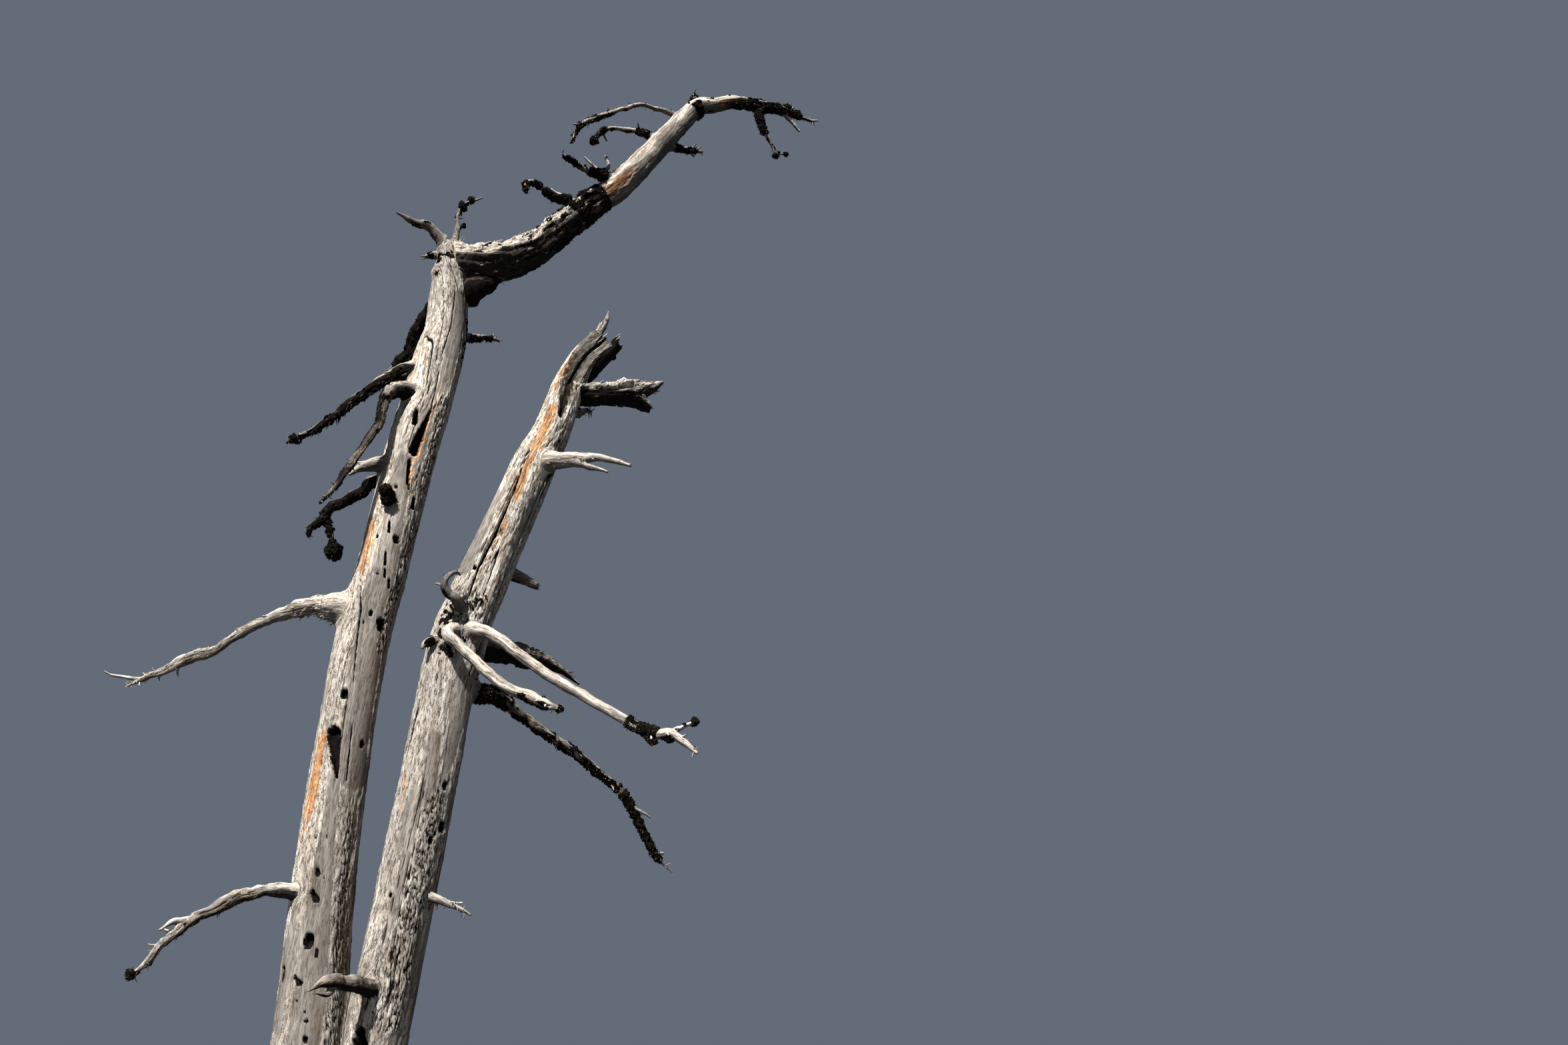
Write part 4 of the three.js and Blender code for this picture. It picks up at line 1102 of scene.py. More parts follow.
def bough_relief(skin, flaky, tone_and_light, under_shade, calm, seed, rotten=()):
    """Carves a bough: long wrung ridges, splits between them, and flakes where it is rough."""
    field = skin.texture(seed)
    flaky, tone_and_light, under_shade = (along_legs(skin, value) for value in (flaky, tone_and_light, under_shade))
    thick = np.clip(skin.plain / 44, 0.16, 1.6)
    finer = np.clip(skin.plain.mean() / 40, 0.35, 1.2)
    crust = smooth(-0.1, 0.25, field(45, 240, 0, 2) + 1.4 * flaky - 0.6)
    ridges = field(24 * finer, 340, 1, 3)
    fibres = field(6.5 * finer, 100, 2, 2)
    split = 1 - smooth(0.04, 0.14, np.abs(field(20 * finer, 420, 3)))
    steps = stepped(field(27 * finer, 120, 4, 2) * 2.4, 0.18)
    knobs = smooth(0.4, 0.8, field(30 * finer, 60, 5))
    chips = smooth(0.12, 0.42, field(8, 22, 6)) * crust
    rough = np.interp(flaky, (0, 0.2, 0.8), (0.45, 0.95, 1.4))
    height = rough * (2.8 * np.sqrt(thick) * ridges + thick * (1.4 * fibres - 3.4 * split + 1.2 * knobs))
    height += thick * crust * (3.4 * steps - 3 * chips)
    if flaky.max() > 0.6:
        torn = stepped(field(44, 330, 10, 2) * 3, 0.12)
        gashes = 6.5 * torn - 8 * smooth(0.25, 0.4, field(15, 110, 12))
        height += thick * smooth(0.4, 0.7, flaky) * (gashes + 4 * field(90, 160, 11))
    rot = 0.6 * smooth(0.2, 0.55, field(30, 140, 7)) * crust
    for point, reach in rotten:
        offset = skin.points - point
        lengthways = np.einsum("ijk,ik->ij", offset, skin.along)
        apart = np.sqrt(np.maximum((offset**2).sum(2) - 0.9 * lengthways**2, 0))
        rot = np.maximum(rot, 1 - smooth(0.6 * reach, reach, apart + 0.3 * reach * field(14, 50, 9, 2)))
    height -= (5 * rot + 1.5) * thick

    # Painted shade: the underside is painted dark, and it is smoother than the top. Painted light: the side
    # that faces the key lamp is paler.
    lit = skin.facing((SUN_FROM[0], SUN_FROM[1], 1.2))
    upward = skin.out @ unit(np.array((0.5, 0, 1))) + 0.25 * field(50, 200, 13, 2)
    under = smooth(0.1 + 0.4 * under_shade, 0.3 * under_shade - 0.36, upward)
    height *= 1 - 0.6 * under_shade * under
    skin.points += skin.normals() * (height * calm)[..., None]
    dark = np.maximum(0.45 * split * smooth(-0.2, 0.3, field(60, 200, 14)), 0.4 * chips)
    dark = np.maximum(dark, np.minimum(1.05 * under_shade, 0.9) * under)
    pale = np.clip(tone_and_light + 0.55 * lit - 0.1 + 0.3 * field(40, 300, 8), 0, 1)
    skin.wear = np.stack([crust, rot, dark, pale], axis=-1)


def placed(name, data):
    """A new object in the scene."""
    thing = bpy.data.objects.new(name, data)
    bpy.context.scene.collection.objects.link(thing)
    return thing


class Piece:
    """The points and faces of one object, gathered from many tubes."""

    def __init__(self, name):
        self.name = name
        self.points, self.quads, self.triangles, self.grain, self.wear = [], [], [], [], []
        self.count = 0

    def add(self, points, quads, triangles, grain=None, wear=None):
        self.points.append(points)
        self.quads.append(np.asarray(quads, int).reshape(-1, 4) + self.count)
        self.triangles.append(np.asarray(triangles, int).reshape(-1, 3) + self.count)
        self.grain.append(points if grain is None else grain)
        self.wear.append(np.zeros((len(points), 4)) if wear is None else wear)
        self.count += len(points)

    def add_tube(self, points, grain, wear):
        """A tube of rings, closed at each end by a fan of triangles round its middle."""
        rings, sides, _ = points.shape
        index = np.arange(rings * sides).reshape(rings, sides)
        beyond = np.roll(index, -1, axis=1)
        quads = np.stack([index[:-1], index[1:], beyond[1:], beyond[:-1]], axis=-1)
        first, last = rings * sides, rings * sides + 1
        start = np.stack([np.full(sides, first), index[0], beyond[0]], axis=-1)
        end = np.stack([np.full(sides, last), beyond[-1], index[-1]], axis=-1)
        middles = [values[[0, -1]].mean(axis=1) for values in (points, grain, wear)]
        flat = [
            np.vstack([values.reshape(rings * sides, -1), middle])
            for values, middle in zip((points, grain, wear), middles)
        ]
        self.add(flat[0], quads, np.vstack([start, end]), flat[1], flat[2])

    def build(self, material, slot, *nodes):
        points = np.clip(np.vstack(self.points), BOX[0], BOX[1])
        quads, triangles = np.vstack(self.quads), np.vstack(self.triangles)
        mesh = bpy.data.meshes.new(self.name)
        mesh.vertices.add(len(points))
        mesh.vertices.foreach_set("co", (points * MM).astype(np.float32).ravel())
        corners = np.concatenate([quads.ravel(), triangles.ravel()])
        starts = np.concatenate([np.arange(len(quads)) * 4, 4 * len(quads) + np.arange(len(triangles)) * 3])
        mesh.loops.add(len(corners))
        mesh.loops.foreach_set("vertex_index", corners.astype(np.int32))
        mesh.polygons.add(len(starts))
        mesh.polygons.foreach_set("loop_start", starts.astype(np.int32))
        mesh.polygons.foreach_set("use_smooth", np.ones(len(starts), bool))
        mesh.update(calc_edges=True)
        grain = mesh.attributes.new("grain", "FLOAT_VECTOR", "POINT")
        grain.data.foreach_set("vector", (np.vstack(self.grain) * MM).astype(np.float32).ravel())
        wear = mesh.attributes.new("wear", "FLOAT_COLOR", "POINT")
        wear.data.foreach_set("color", np.vstack(self.wear).astype(np.float32).ravel())
        mesh.materials.append(material)
        thing = placed(self.name, mesh)
        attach(thing, "root")
        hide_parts(*nodes)


def closed_end(skin, jag, seed):
    """Splinters a tube's far end, and adds the rings that close it."""
    end_radius = skin.plain[-1, 0]
    grain = skin.grain()
    middle = skin.centre[-1]
    rim = skin.points[-1] - middle

    def push(offset):
        sideways = offset @ skin.across[-1], offset @ skin.beside[-1]
        flat = np.stack([*sideways, np.zeros(len(offset))], axis=-1)
        coarse = noise(flat / max(0.55 * end_radius, 4), seed)
        return jag * (1.3 * coarse + 0.6 * noise(flat / max(0.2 * end_radius, 3), seed + 1))

    weight = smooth(skin.run[-1] - 2.4 * end_radius, skin.run[-1], skin.run)[:, None]
    skin.points = skin.points + skin.along[:, None] * (weight * push(rim))[..., None]
    rings = [skin.points]
    grains = [grain]
    ring_wear_and_shading = [skin.wear]
    for share in END_RINGS:
        inner = rim * share
        sunk = 0.7 * jag * (1 - share)
        rings.append((middle + inner + skin.along[-1] * (push(inner) - sunk)[:, None])[None])
        grains.append(grain[-1:] * (share, share, 1))
        worn = skin.wear[-1:].copy()
        worn[..., 2] = np.maximum(worn[..., 2], END_SHADE)
        ring_wear_and_shading.append(worn)
    return np.vstack(rings), np.vstack(grains), np.vstack(ring_wear_and_shading)


class Grown:
    """What stems and limbs share. Noise takes a smaller seed than random numbers do."""

    NOISE_SEEDS = 9973

    def __init__(self, row):
        self.row, self.name, self.seed = row, row["name"], seed_of(row["name"])
        self.noise_seed = self.seed % self.NOISE_SEEDS
        self.children = []


class Stem(Grown):
    """A stem of the table, with its path."""

    def __init__(self, row):
        super().__init__(row)
        self.path = StemPath(row)
        self.field = Field(self.path, 0, self.path.end)


class Limb(Grown):
    """A limb of the table, with its path and the place where it comes out of its parent."""

    LONGEST_REACH = 70

    def __init__(self, row, limbs):
        super().__init__(row)
        self.shares = DARK_AND_SHADED_SHARES if self.name in DARK_AND_SHADED_LICHEN else MIXED_SHARES
        self.parent = limbs[row["on"]]
        path = self.parent.path
        start = path.point(row["at"] if "at" in row else place_at_height(path, row["height"]))[0]
        start[0] += row.get("aside", 0)
        self.path = walk(start, row["butt"], row["legs"])
        self.parent.children.append(self)
        fine, _ = even_places(self.path, 0, self.path.end, 10)
        apart, _, angle, run = self.parent.field.measure(self.path.point(fine))
        outside = np.nonzero(apart > 0)[0]
        first = outside[0] if len(outside) else 0
        self.exit = fine[first]
        radius = float(self.path.radius(self.exit))
        self.reach = min(0.6 * radius, self.LONGEST_REACH)
        hidden = np.nonzero(apart[:first] < -(0.45 * radius + 22))[0]
        self.start = fine[hidden[-1]] if len(hidden) else 0.0
        self.knot = (run[first], angle[first], 0.95 * radius)
        self.field = Field(self.path, 0, self.path.end)
        self.root_field = Field(self.path, 0, min(self.path.end, self.exit + 1.4))


limbs = {stem["name"]: Stem(stem) for stem in STEMS}
for table_row in LIMBS:
    limbs[table_row["name"]] = Limb(table_row, limbs)
boughs = [limbs[table_row["name"]] for table_row in LIMBS]


def side_tube(piece, path, seed, tone_and_light, sides, step, jag, joined=(), under_shade=PLAIN_UNDER_SHADE):
    """A prong, fork or spur: a small tube with wrung fibres and a broken end."""
    skin = Skin(path, 0, path.end, sides, step)
    skin.gnarl(smooth(0, 40, skin.run), seed + 3)
    calm = np.ones(skin.plain.shape)
    if joined:
        closest = skin.settle(Field(path, 0, path.end), joined)
        calm = smooth(-4, 16, closest) * 0.8 + 0.2
    bough_relief(skin, SIDE_TUBE_FLAKY, tone_and_light, under_shade, calm, seed)
    piece.add_tube(*closed_end(skin, jag, seed))
    return skin


def sides_for(radius, spacing, least, most):
    return int(np.clip(round(2 * np.pi * radius / spacing), least, most))


def way_out(path, place, turn):
    """A path's centre, direction and radius at a place, and the way out at an angle round it."""
    centre, along, across, beside = (values[0] for values in frames_along(path, np.array([place])))
    return centre, along, float(path.radius(place)), across * math.cos(turn) + beside * math.sin(turn)


def spur_paths(limb):
    """Short broken spurs, placed by the source's seeded rule, each bent a little at its middle."""
    random = seeded(limb.seed)
    start, end = max(limb.row["twigs_from"], 1), limb.path.end
    for i in range(limb.row["spurs"]):
        place = start + (end - start) * (i + 0.35 + 0.5 * next(random)) / limb.row["spurs"]
        centre, along, radius, out = way_out(limb.path, place, next(random) * 2 * math.pi)
        reach = radius + SPUR["shortest"] + SPUR["spread"] * next(random)
        tip = centre + out * reach + along * SPUR["lean"] * reach
        thick = max(SPUR["thinnest"], SPUR["thickness"] * radius)
        bend = centre + (tip - centre) * 0.6 + along * 0.1 * reach
        yield Path([centre, bend, tip], [thick, 0.7 * thick, 0.35 * thick])


def finer_spurs(limb, start, count, longest):
    """Finer dead twiglets, which the source's rule leaves out."""
    random = np.random.default_rng(limb.seed)
    for _ in range(count):
        place = random.uniform(start, limb.path.end)
        centre, along, radius, out = way_out(limb.path, place, random.uniform(0, 2 * math.pi))
        length = random.uniform(0.35, 1) * longest
        heading = unit(out + along * random.uniform(0.1, 0.9))
        corners = [centre + out * radius * 0.5]
        for _ in range(3):
            corners.append(corners[-1] + heading * length / 3)
            heading = unit(heading + random.normal(0, 0.45, 3))
        thick = min(0.45 * radius, random.uniform(2.2, 4.2))
        yield Path(corners, [thick, 0.8 * thick, 0.6 * thick, 0.3 * thick])


def turned(vectors, axes, angles):
    """Vectors turned round axes of length 1."""
    cos, sin = np.cos(angles)[:, None], np.sin(angles)[:, None]
    kept = axes * (axes * vectors).sum(1, keepdims=True)
    return vectors * cos + np.cross(axes, vectors) * sin + kept * (1 - cos)


# A strip has three rows of three points and a tip.
STRIP_ROWS = len(STRIP_WIDTHS)
STRIP_POINTS = 3 * STRIP_ROWS + 1
STRIP_QUADS = np.array([
    (3 * i + j, 3 * i + 3 + j, 3 * i + 3 + (j + 1) % 3, 3 * i + (j + 1) % 3)
    for i in range(STRIP_ROWS - 1)
    for j in range(3)
])
STRIP_TRIANGLES = np.array([(0, 1, 2)] + [(6 + j, 9, 6 + (j + 1) % 3) for j in range(3)])


def grow_strips(roots, heading, flat, lengths, widths, curl, wobble, thick, random):
    """Thin curled strips that taper to a point, with their middle line and its direction at each row."""
    count = len(roots)
    flat = unit(flat - heading * (flat * heading).sum(1, keepdims=True))
    centre = roots.copy()
    rows, stops = [], []
    for share in STRIP_WIDTHS:
        raised = np.cross(heading, flat)
        half = (widths * share / 2)[:, None]
        rows += [centre + flat * half, centre - flat * half, centre + raised * half * 2 * thick]
        stops.append((centre, heading))
        centre = centre + heading * (lengths / STRIP_ROWS)[:, None]
        heading = unit(turned(heading, flat, curl) + random.normal(0, wobble, (count, 3)))
        flat = unit(flat - heading * (flat * heading).sum(1, keepdims=True))
    rows.append(centre)
    return np.stack(rows, axis=1), stops


def add_strips(piece, points, grain=None, wear=None):
    first = np.arange(len(points))[:, None, None] * STRIP_POINTS
    flat = [
        None if values is None else values.reshape(-1, values.shape[-1]) for values in (points, grain, wear)
    ]
    piece.add(flat[0], first + STRIP_QUADS, first + STRIP_TRIANGLES, flat[1], flat[2])


def flakes(piece, skin, seed, start, end, count, longest, side=0):
    """Torn flakes of wood that lie along a limb, with one end lifted."""
    random = np.random.default_rng(seed)
    rings = np.nonzero((skin.places >= start) & (skin.places <= end))[0]
    if not len(rings):
        return
    tries = random.integers(rings[0], rings[-1] + 1, 4 * count), random.integers(0, skin.sides, 4 * count)
    outward = skin.out[tries]
    liked = outward[:, 2] * side + random.normal(0, 0.45, 4 * count)
    best = np.argsort(-liked)[:count]
    ring, column = tries[0][best], tries[1][best]
    out, along = skin.out[ring, column], skin.along[ring]
    lengths = longest * random.uniform(0.25, 1, count) ** 1.3
    widths = np.clip(lengths * random.uniform(0.18, 0.42, count), 3, 38)
    lifted = random.uniform(0.02, 0.8 if side < 0 else 0.36, (count, 1))
    heading = unit(along + out * lifted + random.normal(0, 0.12, (count, 3)))
    roots = skin.points[ring, column] - out * 0.35 * widths[:, None] - heading * 0.25 * lengths[:, None]
    flat, curl = np.cross(out, heading), random.normal(0, 0.12, count)
    points, _ = grow_strips(roots, heading, flat, lengths, widths, curl, 0.05, 0.28, random)
    run = np.repeat([0, 0.33, 0.67, 1], (3, 3, 3, 1))[None, :] * lengths[:, None]
    place = skin.grain()[ring, column][:, None]
    grain = place + np.stack([points[..., 0] - roots[:, :1], points[..., 1] - roots[:, 1:2], run], axis=-1)
    # A flake takes its limb's painted light and part of its painted shade.
    pale = np.clip(skin.wear[ring, column, 3] + random.normal(0.1, 0.2, count), 0, 1)
    rotten = (random.random(count) < 0.22) * 0.7
    crust = random.uniform(0.2, 1, count)
    worn = np.stack([crust, rotten, 0.6 * skin.wear[ring, column, 2], pale], axis=-1)
    add_strips(piece, points, grain, np.repeat(worn[:, None], STRIP_POINTS, axis=1))


def shards(piece, skin, seed, count, longest, tone_and_light):
    """Thin splinters that stand off a broken end's rim."""
    random = np.random.default_rng(seed)
    for _ in range(count):
        column = random.integers(skin.sides)
        ring = -1 - random.integers(0, max(2, int(0.9 * skin.plain[-1, 0] / 8)))
        rim = skin.points[ring, column] - skin.centre[ring]
        foot = skin.centre[ring] + rim * random.uniform(0.72, 0.98)
        heading = unit(skin.along[ring] + skin.out[ring, column] * random.uniform(-0.1, 0.35))
        length = random.uniform(0.3, 1) * longest
        width = random.uniform(2.5, 6) + 0.05 * length
        corners = [foot - heading * 14, foot + heading * 0.4 * length, foot + heading * length]
        splinter = Path(corners, [width, 0.7 * width, 0.8])
        side_tube(piece, splinter, int(random.integers(1e6)), tone_and_light, sides=5, step=9, jag=1)


def make_stem(stem, other):
    """A stem from the ground to its top, joined softly to the other one, and the ring where the foot ends."""
    row = stem.row
    skin = Skin(stem.path, place_at_height(stem.path, 0), stem.path.end, row["sides"], 12)
    shift = stem.field.measure(skin.centre[:1])[3][0]
    for limb in stem.children:
        run, angle, radius = limb.knot
        skin.knots.append((run - shift, angle, radius))
    around = [(limb.root_field, limb.reach) for limb in stem.children]
    around.append((Field(other.path, 0, place_at_height(other.path, PARTED_HEIGHT)), STEMS_REACH))
    closest = skin.settle(stem.field, around)
    calm = 0.35 + 0.65 * smooth(0, 60, closest)
    stem_relief(skin, row["marks"], calm, stem.noise_seed)
    fading = np.exp(-np.maximum(closest, 0) / FOLDS["reach"]) * (closest < FOLDS["furthest"])
    folds = FOLDS["height"] * (np.sin(closest / FOLDS["apart"] + 2 * skin.angle) * fading)
    skin.points += skin.normals() * folds[..., None]
    rings, grain, wear = closed_end(skin, row["jag"], stem.seed)
    rings[..., 2] = np.maximum(rings[..., 2], 0)
    rings[0, :, 2] = 0
    fork = int(np.argmin(np.abs(skin.centre[:, 2] - FORK_HEIGHT)))
    return skin, rings, grain, wear, fork


def tucked(rings, depths):
    """Rings drawn in a little, so that a piece ends unseen inside the next one."""
    return rings + unit(rings.mean(axis=1, keepdims=True) - rings) * np.array(depths)[:, None, None]


def make_stems():
    left, right = limbs["left_stem"], limbs["right_stem"]
    foot = Piece("trunk_foot_wood")
    for stem, other in ((left, right), (right, left)):
        skin, rings, grain, wear, fork = make_stem(stem, other)
        lower = np.vstack([rings[: fork + 1], tucked(rings[fork + 1 : fork + 3], TUCKED)])
        foot.add_tube(lower, grain[: fork + 3], wear[: fork + 3])
        upper = Piece(stem.name + "_wood")
        above = np.vstack([tucked(rings[fork - 2 : fork], TUCKED[::-1]), rings[fork:]])
        upper.add_tube(above, grain[fork - 2 :], wear[fork - 2 :])
        shards(upper, skin, stem.seed, stem.row["splinters"], longest=85, tone_and_light=0.5)
        flaked_from = place_at_height(stem.path, skin.centre[-1][2] - stem.row["flaked"])
        flakes(upper, skin, stem.seed, flaked_from, stem.path.end, stem.row["flakes"], longest=60)
        if stem.name in STUMPS:
            prong, joined = Path(*STUMPS[stem.name]), [(stem.field, 40)]
            # Painted shade: the broken prong in the trough is given a dark tone and much painted shade below.
            finish = dict(tone_and_light=-0.3, under_shade=1.5)
            broken = side_tube(upper, prong, stem.seed, sides=60, step=7, jag=30, joined=joined, **finish)
            shards(upper, broken, stem.seed, count=12, longest=60, tone_and_light=0.3)
        upper.build(WOOD, "trunk", stem.name)
    foot.build(WOOD, "trunk", "trunk_foot")


def limb_wood(piece, limb, coat, step, spacing):
    """A limb's own wood with its prongs, forks and spurs, joined softly to its parent."""
    row = limb.row
    flaky = FLAKY.get(limb.name, PLAIN_FLAKY)
    tone_and_light = TONE_AND_LIGHT.get(limb.name, PLAIN_TONE_AND_LIGHT)
    under_shade = UNDER_SHADE.get(limb.name, PLAIN_UNDER_SHADE)
    typical = 0.65 * float(limb.path.radius(limb.exit)) + 0.35 * float(np.mean(limb.path.radii))
    skin = Skin(limb.path, limb.start, limb.path.end, sides_for(typical, spacing, 8, 96), step)
    out_run = float(np.interp(limb.exit, skin.places, skin.run))
    free = smooth(out_run + 20, out_run + 180, skin.run) * WANDER.get(limb.name, 1)
    skin.gnarl(free, limb.noise_seed + 50)
    prongs = [branch(limb.path, prong) for prong in row.get("prongs", [])]
    forks = [branch(limb.path, fork) for fork in row.get("forks", [])]
    around = [(limb.parent.field, limb.reach)]
    around += [(Field(prong, 0, prong.end), 0.6 * prong.radii[0]) for prong in prongs]
    around += [(Field(fork, 0, fork.end), 0.8 * fork.radii[0]) for fork in forks]
    around += [(child.root_field, child.reach) for child in limb.children]
    closest = skin.settle(limb.field, around)
    calm = 0.3 + 0.7 * smooth(0, 30, closest)
    bough_relief(skin, flaky, tone_and_light, under_shade, calm, limb.noise_seed, ROTTEN.get(limb.name, ()))
    for start, end, dense, size in LICHEN.get(limb.name, []):
        coat.sleeve(skin, limb, max(start, limb.exit), end, dense, size)
    for n, (start, end, count, longest, side) in enumerate(FLAKES.get(limb.name, [])):
        flakes(piece, skin, limb.seed + n, max(start, limb.exit), end, count, longest, side)
    blunt = "twigs_from" not in row
    tip = limb.path.radii[-1]
    piece.add_tube(*closed_end(skin, (1.1 if blunt else 0.6) * tip, limb.seed))
    for n, prong in enumerate(prongs):
        sides = sides_for(prong.radii[0], spacing, 8, 64)
        joined = [(limb.field, 0.6 * prong.radii[0])]
        if prong.radii[0] > HEAVY_PRONG["thicker_than"]:
            tone, shade = HEAVY_PRONG["tone_and_light"], HEAVY_PRONG["under_shade"]
            broken = side_tube(piece, prong, limb.seed + n, tone, sides, step, 9, joined, shade)
            shards(piece, broken, limb.seed + n, count=7, longest=110, tone_and_light=0.2)
        else:
            side_tube(piece, prong, limb.seed + n, tone_and_light, sides, step, 9, joined, under_shade)
    for n, fork in enumerate(forks):
        joined = [(limb.field, 0.8 * fork.radii[0])]
        side_tube(piece, fork, limb.seed + n, tone_and_light, sides=10, step=6, jag=2, joined=joined)
    if not blunt:
        for n, spur in enumerate(spur_paths(limb)):
            side_tube(piece, spur, limb.seed + n, tone_and_light, sides=7, step=6, jag=2)
        start = max(row["twigs_from"], limb.exit)
        for n, twiglet in enumerate(finer_spurs(limb, start, count=5 * row["spurs"], longest=46)):
            side_tube(piece, twiglet, limb.seed + n, tone_and_light, sides=5, step=7, jag=1)
    elif tip > SPLINTERED_TIP:
        shards(piece, skin, limb.seed, count=12, longest=45, tone_and_light=tone_and_light)


def make_limbs(coat):
    """Each bough is a piece of its own. Limbs that are twigs throughout are joined into one piece."""
    twigs = Piece("twigs_wood")
    twig_nodes = []
    for limb in boughs:
        row = limb.row
        if row.get("twigs_from") == 0:
            limb_wood(twigs, limb, coat, step=8, spacing=5)
            twig_nodes.append(limb.name)
            continue
        piece = Piece(limb.name + "_wood")
        limb_wood(piece, limb, coat, step=row.get("step", 8), spacing=6)
        nodes = list(row.get("boughs", [limb.name]))
        if "twigs_from" in row:
            nodes.append(row.get("twigs_name", limb.name.replace("_bough", "_twigs")))
        piece.build(WOOD, row.get("slot", "bough"), *nodes)
    twigs.build(WOOD, "twigs", *twig_nodes)


def ball(subdivisions):
    """The points and faces of a ball of radius 1."""
    shape = bmesh.new()
    bmesh.ops.create_icosphere(shape, subdivisions=subdivisions, radius=1)
    points = np.array([vertex.co for vertex in shape.verts])
    faces = np.array([[vertex.index for vertex in face.verts] for face in shape.faces])
    shape.free()
    return points, faces


def doubled(rings):
    """Rings with a further point halfway between each two."""
    halfway = (rings + np.roll(rings, -1, axis=1)) / 2
    return np.stack([rings, halfway], axis=2).reshape(len(rings), -1, 3)


def boxed(points):
    """Points kept a millimetre inside the frame's box."""
    return np.clip(points, BOX[0] + 1, BOX[1] - 1)


BALLS = [ball(subdivisions) for subdivisions in (2, 3, 4)]


class Coat:
    """The lichen of the whole tree: dark woolly cores, and blades in plain tints that stand out of them."""

    def __init__(self):
        self.pieces = {
            tint: [Piece(f"lichen_{tint}_{level}") for level in ("high", "low")]
            for tint in ("core", *LICHEN_TINTS)
        }

    def piece(self, tint, points):
        return self.pieces[tint][int(points[..., 2].mean() < LEVEL_HEIGHT)]

    def blades(self, roots, outward, lengths, shares, random):
        """Deals blades out to the tints, so that near ones are often alike."""
        if not len(roots):
            return
        value = 0.5 + 0.6 * noise(roots / 24, 3) + random.uniform(-0.3, 0.3, len(roots))
        kind = np.searchsorted(np.cumsum(shares[:-1]), value)
        widths = random.uniform(3.4, 6.4, len(roots))
        for number, tint in enumerate(LICHEN_TINTS):
            own = kind == number
            self.grow(tint, roots[own], outward[own], lengths[own], widths[own], random, FORKED_BLADES)

    def grow(self, tint, roots, outward, lengths, widths, random, forks):
        """Short curled strips, some of which fork. One that would leave the frame's box is left out."""
        heading = unit(outward + random.normal(0, 0.5, roots.shape))
        flat = np.cross(heading, random.normal(size=roots.shape))
        curl = random.normal(0.1, 0.85, len(roots))
        points, stops = grow_strips(roots, heading, flat, lengths, widths, curl, 0.3, 0.4, random)
        fits = ((points > BOX[0]) & (points < BOX[1])).all(axis=(1, 2))
        if fits.any():
            add_strips(self.piece(tint, roots), points[fits])
        chosen = np.nonzero((random.random(len(roots)) < forks) & fits)[0]
        if len(chosen):
            centre, way = stops[1][0][chosen], stops[1][1][chosen]
            way = way + random.normal(0, 0.5, way.shape)
            self.grow(tint, centre, way, lengths[chosen] * 0.65, widths[chosen] * 0.8, random, 0)

    def sleeve(self, skin, limb, start, end, dense, size):
        """A woolly sleeve on a limb, more below than on top, with fewer bare gaps where it is denser."""
        rings = np.nonzero((skin.places >= start) & (skin.places <= end))[0]
        if len(rings) < SLEEVE_RINGS:
            return
        random = np.random.default_rng(limb.seed + len(rings))
        points, out, grain = skin.points[rings], skin.normals()[rings], skin.grain()[rings]
        plain = skin.plain[rings]
        if skin.sides < COARSE_SIDES:
            points, out, grain = doubled(points), unit(doubled(out)), doubled(grain)
            plain = np.repeat(plain, 2, axis=1)
        flat = points.reshape(-1, 3)
        shape = points.shape[:2]
        spread = cloud(stretch(grain.reshape(-1, 3), 38, 110), limb.seed % 991, 2)
        spread = (spread + 0.5 * noise(flat / 130, limb.seed % 983)).reshape(shape) - 0.5 * out[..., 2]
        bare = np.interp(dense, *BARE_GAPS)
        run = skin.run[rings]
        ends = smooth(0, 16, run - run[0]) * smooth(0, 16, run[-1] - run)
        cover = smooth(bare - 0.1, bare + 0.14, spread) * ends[:, None]
        wool = 0.3 + 0.42 * cloud(flat / 13, limb.seed % 977, 3).reshape(shape)
        sunk = np.minimum(6, 0.5 * plain)
        raised = cover * np.maximum(size * wool, 2) - (1 - cover) * sunk
        points = boxed(points + out * raised[..., None])
        self.piece("core", points).add_tube(points, points, np.zeros(shape + (4,)))
        ring, column = np.nonzero(cover > 0.15)
        if len(ring):
            thickness = np.clip(plain.mean() / 30, 0.7, 2.6)
            count = BLADES * dense * thickness * (run[-1] - run[0]) / 100 * min(1, 1.3 * cover.mean())
            chosen = random.integers(0, len(ring), int(count))
            ring, column = ring[chosen], column[chosen]
            roots, way = points[ring, column] - 3 * out[ring, column], out[ring, column]
            self.blades(roots, way, size * random.uniform(0.25, 0.7, len(roots)), limb.shares, random)

    def tuft(self, centre, size, shares, random, out=None):
        """A woolly ball with blades all over it. One that grows on a surface is pressed flat against it."""
        points, faces = BALLS[sum(size > limit for limit in ROUNDER_FROM)]
        lumpy = cloud(points * 1.4 + random.uniform(0, 99, 3), 5, 2)
        woolly = cloud(points * 5 + random.uniform(0, 99, 3), 7, 2)
        shaped = points * (size * (0.68 + 0.3 * lumpy + 0.12 * woolly))[:, None]
        if out is not None:
            shaped -= out * (shaped @ out)[:, None] * 0.55
            shaped += random.normal(0, 0.35, (1, 3)) * (shaped @ unit(random.normal(size=3)))[:, None]
        shaped = centre + shaped
        self.piece("core", shaped).add(boxed(shaped), [], faces)
        chosen = random.integers(0, len(points), int(14 + 0.052 * size**2))
        roots = shaped[chosen] - 4 * points[chosen] + random.normal(0, 0.06 * size, (len(chosen), 3))
        lengths = (7 + 0.22 * size) * random.uniform(0.4, 1, len(chosen))
        self.blades(roots, points[chosen], lengths, shares, random)

